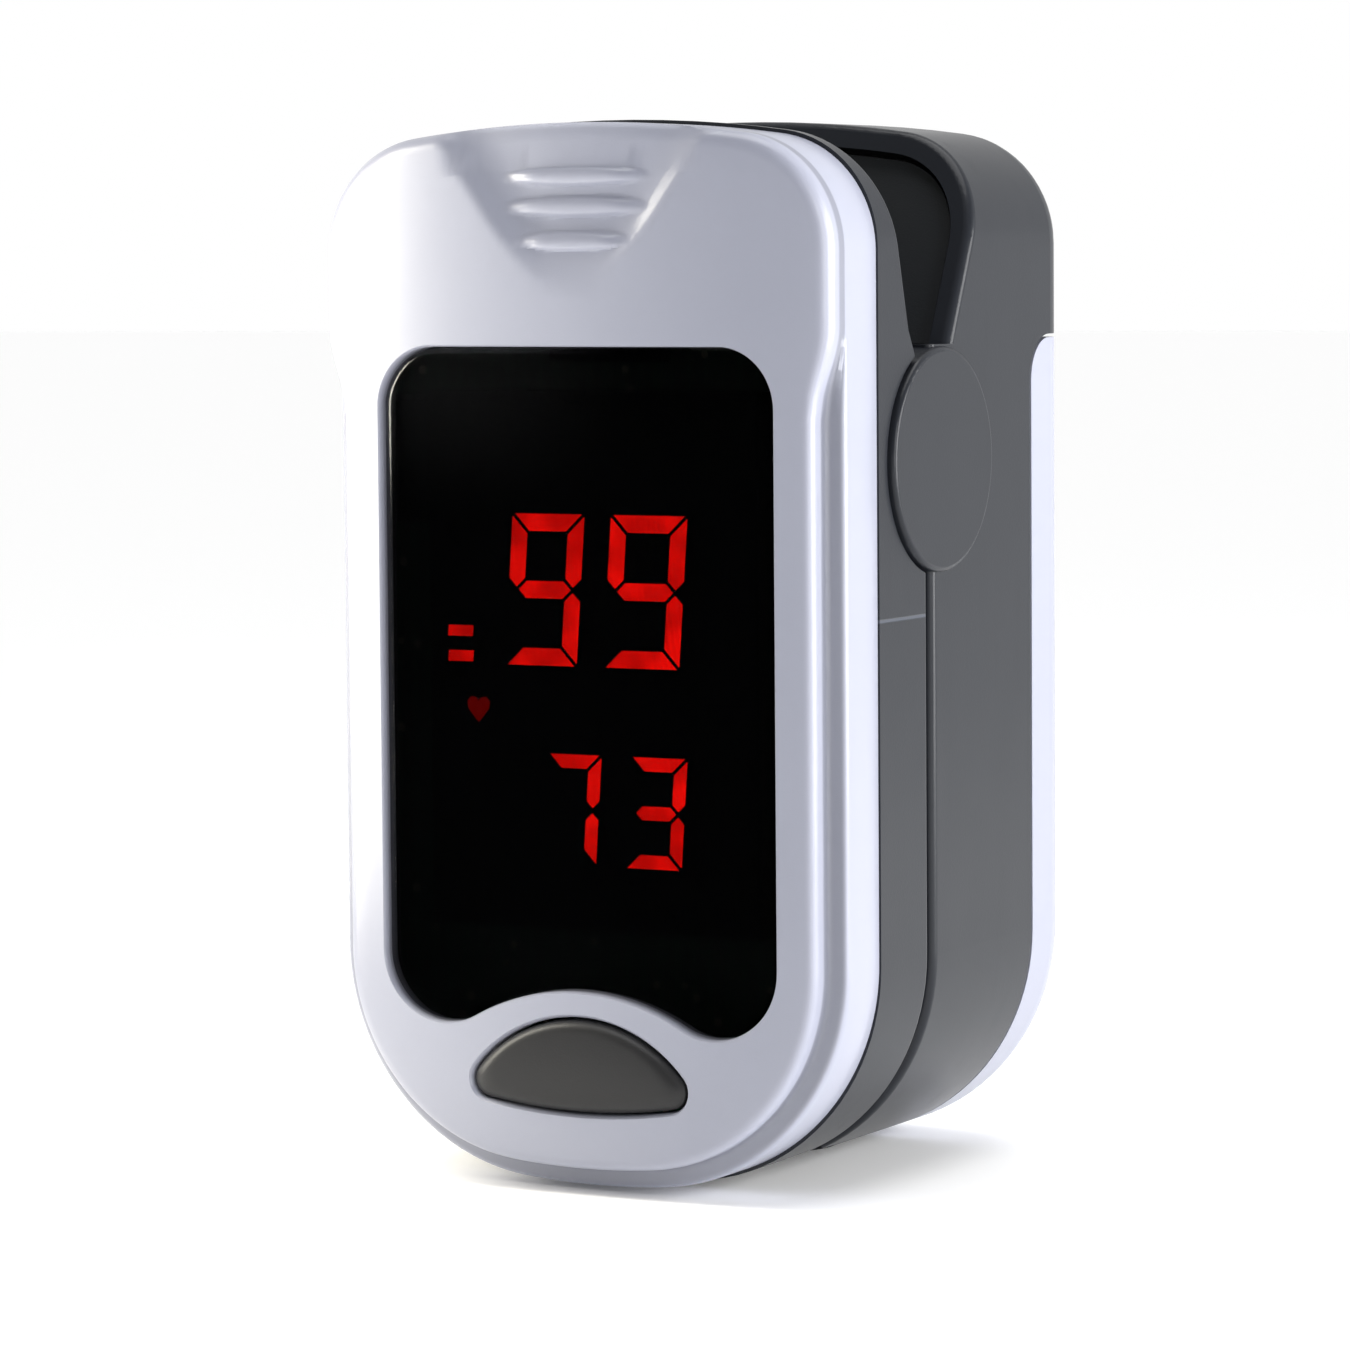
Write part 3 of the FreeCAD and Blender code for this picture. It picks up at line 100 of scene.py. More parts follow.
class CoverSizes(bpy.types.PropertyGroup):
    half_width: length("Half width", 15.78, "From the middle to the side wall")
    top: length("Top", 58.6, "Height of the crowned upper end")
    bottom: length("Bottom", 0.3, "Height of the crowned lower end")
    front: length("Front", -15.0, "Front plane of the plateau")
    rear: length("Rear", -9.5, "Rear edge, against the grey shell")
    shoulder: length("Shoulder", 1.15, "Width of the stepped shoulder round the waist")
    step: length("Step", 1.65, "Depth of the shoulder below the plateau")
    dish: length("Dish", 0.8, "Depth of the thumb dish")
    rib: length("Rib", 0.48, "Height of the grip ribs in the dish")
    columns: IntProperty(name="Columns", description="Grid columns across the face", default=88)
    rows: IntProperty(name="Rows", description="Grid rows along the face", default=120)


class LightLevels(bpy.types.PropertyGroup):
    ceiling: FloatProperty(name="Ceiling", description="Strength of the even overhead light",
                           default=1.95)
    graze: FloatProperty(name="Graze", description="Power of the close left light in watts",
                         default=0.054)
    side: FloatProperty(name="Side", description="Power of the right light in watts",
                        default=0.8)
    strip: FloatProperty(name="Strip", description="Power of the tall front strip in watts",
                         default=0.28)
    room: FloatProperty(name="Room", description="Brightness of the room in front",
                        default=0.035)
    rear: FloatProperty(name="Rear", description="Brightness of the room behind", default=0.8)


def colours():
    return bpy.context.scene.oximeter_colours


def cover_sizes():
    return bpy.context.scene.oximeter_cover


# ------------------------------------------------------------------ materials

class Wire:
    """An output socket that takes part in Python arithmetic; values only."""

    def __init__(self, graph, socket):
        self.graph = graph
        self.socket = socket

    def maths(self, operation, *values):
        return self.graph.node("ShaderNodeMath", {"operation": operation}, values)

    def __add__(self, other):
        return self.maths("ADD", self, other)

    def __sub__(self, other):
        return self.maths("SUBTRACT", self, other)

    def __rsub__(self, other):
        return self.maths("SUBTRACT", other, self)

    def __mul__(self, other):
        return self.maths("MULTIPLY", self, other)

    __radd__ = __add__
    __rmul__ = __mul__

    def absolute(self):
        return self.maths("ABSOLUTE", self)

    def above(self, limit):
        return self.maths("GREATER_THAN", self, limit)

    def below(self, limit):
        return self.maths("LESS_THAN", self, limit)

    def ramp(self, low, high, first=0.0, last=1.0):
        """A clamped straight ramp from first at low to last at high."""
        settings = {"interpolation_type": "SMOOTHSTEP"}
        return self.graph.node("ShaderNodeMapRange", settings, (self, low, high, first, last))


class Graph:
    """A node tree that nodes are added to."""

    def __init__(self, tree):
        self.tree = tree

    def node(self, kind, settings=None, inputs=(), output=0):
        """Add a node: its settings first, then its inputs by position or by name."""
        made = self.tree.nodes.new(kind)
        for key, value in (settings or {}).items():
            setattr(made, key, value)
        named = inputs.items() if isinstance(inputs, dict) else enumerate(inputs)
        for key, value in named:
            if isinstance(value, Wire):
                self.tree.links.new(value.socket, made.inputs[key])
            elif value is not None:
                made.inputs[key].default_value = value
        return Wire(self, made.outputs[output])


class Finish(Graph):
    """One node material with a Principled shader."""

    def __init__(self, name, **constants):
        self.material = bpy.data.materials.new(name)
        self.material.use_nodes = True
        super().__init__(self.material.node_tree)
        self.shader = self.tree.nodes["Principled BSDF"]
        self.coordinates = self.tree.nodes.new("ShaderNodeTexCoord")
        for socket, value in constants.items():
            self.set(socket.replace("_", " "), value)

    def set(self, socket, value):
        target = self.shader.inputs[socket]
        if isinstance(value, Wire):
            self.tree.links.new(value.socket, target)
        elif hasattr(value, "__len__") and len(value) == 3 and socket != "Normal":
            target.default_value = (*value, 1.0)
        else:
            target.default_value = value

    def place(self):
        return Wire(self, self.coordinates.outputs["Object"])

    def axis(self, index):
        return self.node("ShaderNodeSeparateXYZ", None, (self.place(),), index)

    def noise(self, scale, detail=3.0, roughness=0.55, stretch=None):
        source = self.place()
        if stretch:
            source = self.node("ShaderNodeMapping", None, {"Vector": source, "Scale": stretch})
        values = {"Vector": source, "Scale": scale, "Detail": detail, "Roughness": roughness}
        return self.node("ShaderNodeTexNoise", None, values)

    def blend(self, factor, first, second):
        """Colour mix; first and second are colours or colour wires."""
        settings = {"data_type": "RGBA"}
        values = {0: factor}
        for key, value in ((6, first), (7, second)):
            values[key] = value if isinstance(value, Wire) else (*value, 1.0)
        return self.node("ShaderNodeMix", settings, values, 2)

    def bump(self, height, distance, strength=1.0):
        values = {"Height": height, "Distance": distance, "Strength": strength}
        self.set("Normal", self.node("ShaderNodeBump", None, values))


# ------------------------------------------------------------------ finishes

BUMP_UNIT = 0.00001          # metres that a bump height of 1 stands for
EDGE_FADE = (0.0003, 0.0002)  # how softly a shaded recess starts and stops, in metres
LINE_HALF = (0.00005, 0.00013)  # half width of the groove and its painted highlight, sharp part and with its soft edge
PAINTED_HIGHLIGHT_GAIN = 3.6          # how much paler the painted highlight on the groove is than the plastic


def tint(base, factor):
    """A colour made darker or paler."""
    return tuple(min(1.0, channel * factor) for channel in base)


def moulded_plastic(name, base, roughness, grain, coat, gloss=0.5, painted_shade=None, crown=0.0,
                    painted_highlight_groove=None):
    """Injection moulded plastic: fine spark grain, slow colour drift and faint scuffs.

    painted_shade is (front y, rear y, shade) of a band of painted shade, darker between those
    depths; crown leans the surface outwards towards its sides; painted_highlight_groove is the
    height of a fine bumped groove round the part, painted paler as a highlight.
    """
    finish = Finish(name, Coat_Roughness=0.12, IOR=1.5, Specular_IOR_Level=gloss)
    finish.set("Coat Weight", coat)
    drift = finish.noise(90.0, 2.0)
    skin = finish.blend(drift, tint(base, 0.965), tint(base, 1.035))
    # Painted shade: the colour is darker in a band between two depths.
    if painted_shade:
        low, high, shade = painted_shade
        depth = finish.axis(1)
        inside = depth.ramp(low, low + EDGE_FADE[0])
        inside = inside * depth.ramp(high - EDGE_FADE[1], high, 1.0, 0.0)
        skin = finish.blend(inside, skin, tint(base, shade))
    height = finish.noise(9000.0, 2.0) * grain + finish.noise(160.0, 1.0) * 6.0
    # A fine groove, bumped in, with a painted highlight: the groove is painted paler than the
    # plastic.
    if painted_highlight_groove is not None:
        line = (finish.axis(2) - painted_highlight_groove).absolute().ramp(*LINE_HALF, 1.0, 0.0)
        skin = finish.blend(line, skin, tint(base, PAINTED_HIGHLIGHT_GAIN))
        height = height - line * 12.0
    finish.set("Base Color", skin)
    scratches = finish.noise(420.0, 4.0, 0.7, (1.0, 1.0, 0.12)).ramp(0.52, 0.78)
    finish.set("Roughness", roughness + scratches * 0.04 + drift * 0.03)
    if crown:
        across = finish.axis(0)
        height = height - across * across * crown
    finish.bump(height, BUMP_UNIT, 0.5)
    return finish.material


def lit_figures(name, base):
    """Glowing segments with an uneven diffuser, and painted shade that dims the figures towards
    the left of the display.
    """
    finish = Finish(name, Roughness=0.4, Specular_IOR_Level=0.0, Emission_Strength=7.0)
    uneven = finish.noise(520.0, 1.0).ramp(0.3, 0.7, 0.55, 1.0)
    # Painted shade: dimmer towards the left, where the walls of the display's cells shade the
    # figures.
    painted_left_shade = finish.axis(0).ramp(-0.0075, -0.0015, 0.72, 1.0)
    finish.set("Base Color", tint(base, 0.2))
    finish.set("Emission Color", finish.blend(uneven * painted_left_shade, (0.10, 0.0, 0.0), base))
    return finish.material


WINDOW_RIM = (-0.01494, -0.0148)  # y, in metres, over which the rolled edge turns polished


def smoked_window(name):
    """Smoked acrylic: near black, polished, with a few faint wipe marks."""
    finish = Finish(name, IOR=1.06, Coat_Roughness=0.12, Coat_IOR=1.5)
    finish.set("Base Color", (0.0005, 0.0005, 0.0006))
    finish.set("Alpha", 0.5)
    rim = finish.axis(1).ramp(*WINDOW_RIM)
    upper_left = finish.axis(2).ramp(0.037, 0.045) * finish.axis(0).ramp(-0.009, 0.004, 1.0, 0.0)
    finish.set("Coat Weight", rim * upper_left)
    wipe = finish.noise(300.0, 4.0, 0.7, (1.0, 1.0, 0.2)).ramp(0.5, 0.85)
    finish.set("Roughness", 0.035 + wipe * 0.03)
    finish.bump(finish.noise(120.0, 1.0), 0.000004, 0.3)
    return finish.material


def plated_metal(name, base, roughness):
    """Nickel plate or spring steel with fine drawing marks."""
    finish = Finish(name, Metallic=1.0)
    brushed = finish.noise(1500.0, 3.0, 0.6, (1.0, 1.0, 0.08))
    finish.set("Base Color", finish.blend(brushed, tint(base, 0.82), base))
    finish.set("Roughness", roughness + brushed * 0.16)
    finish.bump(brushed, 0.000006, 0.5)
    return finish.material


def soft_silicone(name, base):
    """Matt rubber with a pale bloom and a moulded grain."""
    finish = Finish(name, Specular_IOR_Level=0.35, Sheen_Weight=0.25, Sheen_Roughness=0.5)
    bloom = finish.noise(260.0, 4.0).ramp(0.35, 0.75)
    finish.set("Base Color", finish.blend(bloom, base, tint(base, 1.5)))
    finish.set("Roughness", 0.55 + bloom * 0.15)
    finish.bump(finish.noise(5200.0, 2.0) + finish.noise(700.0, 2.0) * 1.5, 0.00002, 0.6)
    return finish.material


def circuit_board(name, base):
    """Solder mask with darker copper pours and pale dots of vias."""
    finish = Finish(name, Coat_Weight=0.4, Coat_Roughness=0.15)
    cells = finish.node("ShaderNodeTexVoronoi", {"feature": "F1"},
                        {"Vector": finish.place(), "Scale": 620.0})
    vias = cells.below(0.16)
    traces = finish.node("ShaderNodeTexBrick", None,
                         {"Vector": finish.place(), "Scale": 480.0, "Mortar Size": 0.06}, 1)
    mask = finish.blend(traces, base, tint(base, 1.7))
    finish.set("Base Color", finish.blend(vias, mask, (0.55, 0.5, 0.36)))
    finish.set("Roughness", 0.32 + vias * 0.2)
    finish.bump(traces, 0.00002, 0.6)
    return finish.material


CELL_BAND = (0.0345, 0.0475)  # z of the lighter band, in metres
CELL_ENDS = (0.0067, 0.0487)  # z where the sleeve ends and the metal shows


def cell_sleeve(name):
    """Foil sleeve of a round cell: two plain bands, a fine seam and bare metal ends."""
    finish = Finish(name, Coat_Weight=0.5, Coat_Roughness=0.1)
    height = finish.axis(2)
    band = height.above(CELL_BAND[0]) * height.below(CELL_BAND[1])
    metal = height.above(CELL_ENDS[1]) + height.below(CELL_ENDS[0])
    sleeve = finish.blend(band, (0.035, 0.07, 0.16), (0.72, 0.55, 0.12))
    finish.set("Base Color", finish.blend(metal, sleeve, (0.62, 0.62, 0.6)))
    finish.set("Metallic", metal)
    finish.set("Roughness", 0.28 + finish.noise(900.0, 3.0) * 0.12)
    finish.bump(finish.noise(2600.0, 2.0), 0.000008, 0.4)
    return finish.material


def tinted_lens(name):
    """Deep red clear resin."""
    finish = Finish(name, IOR=1.49, Coat_Weight=0.8)
    depth = finish.noise(800.0, 2.0)
    finish.set("Base Color", finish.blend(depth, (0.10, 0.012, 0.014), (0.2, 0.02, 0.02)))
    finish.set("Roughness", 0.08 + depth * 0.05)
    return finish.material


def polyimide_film(name):
    """Amber film with copper lanes along it."""
    finish = Finish(name, Coat_Weight=0.3)
    lanes = finish.node("ShaderNodeTexWave", {"bands_direction": "X"},
                        {"Vector": finish.place(), "Scale": 640.0})
    finish.set("Base Color", finish.blend(lanes, (0.42, 0.16, 0.02), (0.24, 0.075, 0.012)))
    finish.set("Roughness", 0.3 + lanes * 0.12)
    finish.bump(lanes, 0.00001, 0.5)
    return finish.material


def dress(name, material):
    """Give a CAD node its finish."""
    slots = frame["nodes"][name].data.materials
    slots.clear()
    slots.append(material)
    for polygon in frame["nodes"][name].data.polygons:
        polygon.material_index = 0


# ------------------------------------------------------------------ outlines, in millimetres

def smoothstep(low, high, value):
    """0 below low, 1 above high, and a soft step between them."""
    t = min(1.0, max(0.0, (value - low) / (high - low)))
    return t * t * (3.0 - 2.0 * t)


class CrownedEnd:
    """One end of the cover outline: a wide crown arc that meets two corner arcs."""

    def __init__(self, half, tip, crown, corner, side):
        self.half, self.crown, self.corner, self.side = half, crown, corner, side
        self.crown_z = tip - side * crown
        self.corner_x = half - corner
        rise = math.sqrt((crown - corner) ** 2 - self.corner_x ** 2)
        self.corner_z = self.crown_z + side * rise

    def at(self, x, inset):
        """Height of the inset outline at x, and its outward direction there."""
        meet = (self.crown - inset) * self.corner_x / (self.crown - self.corner)
        if abs(x) <= meet:
            radius, centre_x, centre_z = self.crown - inset, 0.0, self.crown_z
        else:
            radius, centre_z = self.corner - inset, self.corner_z
            centre_x = math.copysign(self.corner_x, x)
        across = min(1.0, max(-1.0, (x - centre_x) / radius))
        rise = self.side * math.sqrt(1.0 - across * across)
        return centre_z + radius * rise, (across, rise)


def arc_points(x, z, radius, start, end, steps):
    """Points along an arc, without its last one."""
    angles = [start + (end - start) * k / steps for k in range(steps)]
    return [(x + radius * math.cos(a), z + radius * math.sin(a)) for a in angles]


WINDOW = {"half": 12.18, "top": 46.4, "corner": 3.3, "lobe": 3.8, "lobe_z": 13.0, "arch": 11.35}


def window_outline(grow):
    """Closed outline of the window: rounded top, two lobes and the arch over the button."""
    half = WINDOW["half"] + grow
    corner = WINDOW["corner"] + grow
    lobe = WINDOW["lobe"] + grow
    top = WINDOW["top"] + grow
    arch_top = WINDOW["arch"] - grow
    lobe_x = half - lobe
    depth = WINDOW["lobe_z"] - arch_top
    arch = (lobe_x ** 2 + depth ** 2 - lobe ** 2) / (2 * (lobe - depth))
    arch_z = arch_top - arch
    meet = math.atan2(WINDOW["lobe_z"] - arch_z, lobe_x)
    corner_z = top - corner
    points = arc_points(half - corner, corner_z, corner, 0, math.pi / 2, 16)
    points += arc_points(corner - half, corner_z, corner, math.pi / 2, math.pi, 16)
    points += arc_points(-lobe_x, WINDOW["lobe_z"], lobe, math.pi, 2 * math.pi - meet, 22)
    points += arc_points(0, arch_z, arch, math.pi - meet, meet, 26)
    points += arc_points(lobe_x, WINDOW["lobe_z"], lobe, math.pi + meet, 2 * math.pi, 22)
    points.append((half, WINDOW["lobe_z"]))
    return points


BUTTON = {"upper": 8.4, "lower": 34.0, "corner": 1.0, "top": 9.7, "bottom": 4.65}


class ButtonOutline:
    """Half-moon: a tight upper arc, a flat lower arc and small corner arcs."""

    def __init__(self, grow):
        upper, lower, corner = BUTTON["upper"], BUTTON["lower"], BUTTON["corner"]
        self.upper, self.lower, self.corner = upper + grow, lower + grow, corner + grow
        self.upper_z, self.lower_z = BUTTON["top"] - upper, BUTTON["bottom"] + lower
        gap = self.lower_z - self.upper_z
        up, low = self.upper - self.corner, self.lower - self.corner
        rise = (gap ** 2 + up ** 2 - low ** 2) / (2 * gap)
        self.x = math.sqrt(up ** 2 - rise ** 2)
        self.z = self.upper_z + rise
        self.half = self.x + self.corner
        self.up_angle = math.atan2(rise, self.x)
        self.low_angle = math.atan2(self.lower_z - self.z, self.x)

    def span(self, x):
        """Lowest and highest z of the outline at x."""
        reach = math.sqrt(max(0.0, self.corner ** 2 - (abs(x) - self.x) ** 2))
        top = low = None
        if abs(x) < self.upper * math.cos(self.up_angle):
            top = self.upper_z + math.sqrt(self.upper ** 2 - x * x)
        if abs(x) < self.lower * math.cos(self.low_angle):
            low = self.lower_z - math.sqrt(self.lower ** 2 - x * x)
        return (self.z - reach if low is None else low,
                self.z + reach if top is None else top)

    def points(self):
        up, low = self.up_angle, self.low_angle
        loop = arc_points(0, self.upper_z, self.upper, up, math.pi - up, 30)
        loop += arc_points(-self.x, self.z, self.corner, math.pi - up, math.pi + low, 12)
        loop += arc_points(0, self.lower_z, self.lower, math.pi + low, 2 * math.pi - low, 20)
        loop += arc_points(self.x, self.z, self.corner, -low, up, 12)
        return loop


def button_outline(grow):
    return ButtonOutline(grow).points()


# ------------------------------------------------------------------ mesh helpers

def finish_piece(name, bm, material, body, replaced=(), sharp=35.0):
    """Turn a bmesh in millimetres into a shaded piece that rides on a body."""
    bmesh.ops.remove_doubles(bm, verts=bm.verts, dist=1e-4)
    bmesh.ops.recalc_face_normals(bm, faces=bm.faces)
    bmesh.ops.scale(bm, vec=(MM, MM, MM), verts=bm.verts)
    mesh = bpy.data.meshes.new(name)
    bm.to_mesh(mesh)
    bm.free()
    return finish_mesh(name, mesh, material, body, replaced, sharp)


def finish_mesh(name, mesh, material, body, replaced=(), sharp=35.0):
    """Shade a mesh in metres and make it a piece that rides on a body."""
    for polygon in mesh.polygons:
        polygon.use_smooth = True
    mesh.set_sharp_from_angle(angle=math.radians(sharp))
    mesh.materials.clear()
    mesh.materials.append(material)
    piece = bpy.data.objects.new(name, mesh)
    bpy.context.scene.collection.objects.link(piece)
    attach(piece, body)
    if replaced:
        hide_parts(*replaced)
    return piece


def loft(bm, loops, caps=(True, True)):
    """Bridge loops of (x, y, z) points in order, and close the ends that are asked for."""
    rings = []
    for loop in loops:
        verts = [bm.verts.new(p) for p in loop]
        edges = [bm.edges.new(pair) for pair in zip(verts, verts[1:] + verts[:1])]
        rings.append((verts, edges))
    for (_, first), (_, second) in zip(rings, rings[1:]):
        bmesh.ops.bridge_loops(bm, edges=first + second)
    for wanted, (verts, _) in zip(caps, (rings[0], rings[-1])):
        if wanted:
            bmesh.ops.contextual_create(bm, geom=verts)


def levels(outline, steps):
    """Loops of an outline function at (y, grow) steps."""
    return [[(x, y, z) for x, z in outline(grow)] for y, grow in steps]


def bevelled_corner(before, corner, after, radius, steps=7):
    """Points that round a corner of a profile, from one tangent point to the other."""
    before, corner, after = Vector(before), Vector(corner), Vector(after)
    start = corner + (before - corner).normalized() * radius
    end = corner + (after - corner).normalized() * radius
    points = []
    for k in range(steps + 1):
        t = k / steps
        points.append(start * (1 - t) ** 2 + corner * 2 * t * (1 - t) + end * t * t)
    return points


def cut_away(target, cutters):
    """Boolean difference, applied, with the cutters removed afterwards."""
    objects = []
    for bm in cutters:
        bmesh.ops.recalc_face_normals(bm, faces=bm.faces)
        bmesh.ops.scale(bm, vec=(MM, MM, MM), verts=bm.verts)
        mesh = bpy.data.meshes.new("cutter")
        bm.to_mesh(mesh)
        bm.free()
        cutter = bpy.data.objects.new("cutter", mesh)
        bpy.context.scene.collection.objects.link(cutter)
        objects.append(cutter)
        tool = target.modifiers.new("cut", "BOOLEAN")
        tool.object = cutter
        tool.operation = "DIFFERENCE"
        tool.solver = "EXACT"
    bpy.context.view_layer.update()
    graph = bpy.context.evaluated_depsgraph_get()
    carved = bpy.data.meshes.new_from_object(target.evaluated_get(graph))
    for piece in [target, *objects]:
        old = piece.data
        bpy.data.objects.remove(piece)
        bpy.data.meshes.remove(old)
    return carved


# ------------------------------------------------------------------ front cover

# RIBS: height, half length and half thickness of each grip rib. FACE_INSET: where the flat
# face ends. HEAD_LOW, HEAD_HIGH: where the stepped waist turns into the plain head.
# PAINTED_SEAT_SHADE: front y, rear y (metres) and darkness of a band of painted shade over the
# seat round the openings and the shoulder ledge. FACE_CROWN: how strongly the face leans back
# towards its sides in its finish. The cuts: (depth, grow) of each opening.
RIBS = ((55.7, 4.3, 0.62), (54.05, 4.3, 0.66), (52.2, 3.2, 0.62))
FACE_INSET = 2.4
HEAD_LOW, HEAD_HIGH = 42.6, 47.6
FACE_CROWN = 2.3e6
PAINTED_SEAT_SHADE = (-0.0141, -0.0132, 0.62)
REAR_LIP = 0.12
WALL = 1.25
WINDOW_CUT = ((-1.0, 1.1), (-0.02, 0.2), (0.08, 0.12), (0.2, 0.08), (2.0, 0.08))
BUTTON_CUT = ((-1.0, 1.1), (-0.02, 0.34), (0.1, 0.22), (0.3, 0.15), (2.0, 0.15))


def dish_depth(x, z, sizes):
    """How far the thumb dish and its lens-shaped ribs move the face back at x, z."""
    rise = z - 50.2
    half = 2.6 + 0.72 * max(0.0, rise) + 0.35 * smoothstep(0.0, 3.0, rise)
    inward = max(0.0, half - abs(x)) / 3.4
    bowl = 1.0 - (1.0 - min(1.0, inward)) ** 2.2
    bowl *= smoothstep(-0.12, 0.35, inward)
    depth = sizes.dish / MM * bowl * smoothstep(49.0, 54.0, z)
    for rib_z, rib_half, rib_thick in RIBS:
        along = 1.0 - (x / rib_half) ** 2
        if along > 0:
            thick = rib_thick * along ** 0.4
            across = abs(z - rib_z) / thick
            if across < 1:
                crest = min(1.0, along * 1.6) * (1 - across ** 2) ** 0.8
                depth -= sizes.rib / MM * crest * smoothstep(0.0, 0.35, 1 - across)
    return depth


def cover_profile(sizes):
    """(inset, y) corner points of the cover's edge, for the waist and for the head."""
    front, rear = sizes.front / MM, sizes.rear / MM
    shelf, ledge = sizes.shoulder / MM, front + sizes.step / MM
    waist, head = [], []
    for points, plateau, first, second, radii in (
            (waist, (2.2, front), (shelf, front), (shelf, ledge), (0.65, 0.4, 0.42)),
            (head, (2.2, front), (0.0, front), (0.0, ledge - 0.3), (1.0, 0.05, 0.05))):
        third = (0.0, ledge) if points is waist else (0.0, ledge + 0.2)
        points += bevelled_corner(plateau, first, second, radii[0])
        points += bevelled_corner(first, second, third, radii[1])
        points += bevelled_corner(second, third, (0.0, rear), radii[2])
        points.append(Vector((0.0, rear - REAR_LIP)))
        points.append(Vector((0.05, rear)))
    return waist, head


def cover_shell(sizes):
    """Closed cover without its openings: a mapped grid, its edge profile and the inside."""
    half, front = sizes.half_width / MM, sizes.front / MM
    top = CrownedEnd(half, sizes.top / MM, 75.0, 6.4, 1)
    bottom = CrownedEnd(half, sizes.bottom / MM, 45.0, 12.6, -1)
    bm = bmesh.new()
    out = bm.verts.layers.float_vector.new("out")
    foot = bm.verts.layers.float_vector.new("foot")
    bmesh.ops.create_grid(bm, x_segments=sizes.columns, y_segments=sizes.rows, size=1.0)
    reach = half - FACE_INSET
    breaks = ((0.0, 0.0), (0.05, 0.02), (0.25, 0.80), (0.30, 0.835), (0.93, 0.985), (1.0, 1.0))
    for vert in bm.verts:
        x = reach * math.sin(vert.co.x * math.pi / 2)
        share = (vert.co.y + 1) / 2
        for (a, low), (b, high) in zip(breaks, breaks[1:]):
            if a <= share <= b:
                share = low + (high - low) * (share - a) / (b - a)
                break
        low_z, low_out = bottom.at(x, FACE_INSET)
        high_z, high_out = top.at(x, FACE_INSET)
        z = low_z + (high_z - low_z) * share
        if vert.is_boundary:
            normal = (math.copysign(1.0, x), 0.0)
            if share < 1e-6:
                normal = low_out
            elif share > 1 - 1e-6:
                normal = high_out
            vert[out] = (normal[0], 0.0, normal[1])
            vert[foot] = (x + FACE_INSET * normal[0], 0.0, z + FACE_INSET * normal[1])
        vert.co = (x, front + dish_depth(x, z, sizes), z)
    waist, head = cover_profile(sizes)
    rear = sizes.rear / MM
    inside = [(WALL, rear), (WALL, front + 2.1), (FACE_INSET, front + 2.1),
              (FACE_INSET, front + 1.3)]
    rings = list(zip(waist, head)) + [(Vector(p), Vector(p)) for p in inside]
    edges = [edge for edge in bm.edges if edge.is_boundary]
    for low, high in rings:
        made = bmesh.ops.extrude_edge_only(bm, edges=edges)["geom"]
        edges = [item for item in made if isinstance(item, bmesh.types.BMEdge)]
        for vert in (item for item in made if isinstance(item, bmesh.types.BMVert)):
            base, normal = Vector(vert[foot]), Vector(vert[out])
            place = low.lerp(high, smoothstep(HEAD_LOW, HEAD_HIGH, base.z))
            vert.co = base - normal * place.x
            nearness = smoothstep(front + 1.0, front, place.y)
            vert.co.y = place.y + dish_depth(vert.co.x, vert.co.z, sizes) * nearness
    bmesh.ops.contextual_create(bm, geom=edges)
    return bm


class BuildCover(bpy.types.Operator):
    """White front cover with its stepped waist, thumb dish, ribs and two openings"""
    bl_idname = "oximeter.cover"
    bl_label = "Front cover"

    def execute(self, context):
        sizes = cover_sizes()
        bm = cover_shell(sizes)
        bmesh.ops.remove_doubles(bm, verts=bm.verts, dist=1e-4)
        bmesh.ops.recalc_face_normals(bm, faces=bm.faces)
        bmesh.ops.scale(bm, vec=(MM, MM, MM), verts=bm.verts)
        mesh = bpy.data.meshes.new("cover_blank")
        bm.to_mesh(mesh)
        bm.free()
        blank = bpy.data.objects.new("cover_blank", mesh)
        context.scene.collection.objects.link(blank)
        front = sizes.front / MM
        cutters = []
        for outline, steps in ((window_outline, WINDOW_CUT), (button_outline, BUTTON_CUT)):
            cutter = bmesh.new()
            loft(cutter, levels(outline, [(front + deep, grow) for deep, grow in steps]))
            cutters.append(cutter)
        mesh = cut_away(blank, cutters)
        # Painted shade: the cover is darker over the seat round the openings and the shoulder
        # ledge.
        plastic = moulded_plastic("cover white", colours().cover, roughness=0.3, grain=1.0,
                                  coat=0.15, painted_shade=PAINTED_SEAT_SHADE, crown=FACE_CROWN)
        finish_mesh("cover_front", mesh, plastic, "display_half",
                    ("front_cover",), 38.0)
        return {"FINISHED"}


# ------------------------------------------------------------------ window, button, soft parts

# (y, grow) of the window: a flange behind the cover, a straight wall and a rolled front edge
WINDOW_EDGE = ((-13.1, 0.8), (-13.7, 0.8), (-13.7, 0.0), (-14.3, 0.0), (-14.5, -0.04),
               (-14.65, -0.16), (-14.77, -0.36), (-14.86, -0.64), (-14.92, -0.98),
               (-14.947, -1.35), (-14.95, -1.7), (-14.95, -1.76))
BUTTON_RIM, BUTTON_ROLL, BUTTON_CROWN, BUTTON_BACK = -14.78, 0.42, 0.22, -13.1
PAD_VOXEL, PAD_PASSES, PAD_FILL = 0.24, 5, 0.9
FLEX_PATH = ((-9.3, 37.5), (-6.0, 37.5), (-1.0, 37.7), (2.2, 37.9), (3.05, 36.2),
             (3.05, 31.0), (3.05, 24.4))
FLEX_HALF, FLEX_THICK = 2.4, 0.12


class BuildWindow(bpy.types.Operator):
    """Smoked window with a rolled edge, over the lit figures"""
    bl_idname = "oximeter.window"
    bl_label = "Display window"

    def execute(self, context):
        bm = bmesh.new()
        loft(bm, levels(window_outline, WINDOW_EDGE))
        finish_piece("window_lens", bm, smoked_window("smoked acrylic"), "display_half",
                     ("display_window",), 50.0)
        return {"FINISHED"}


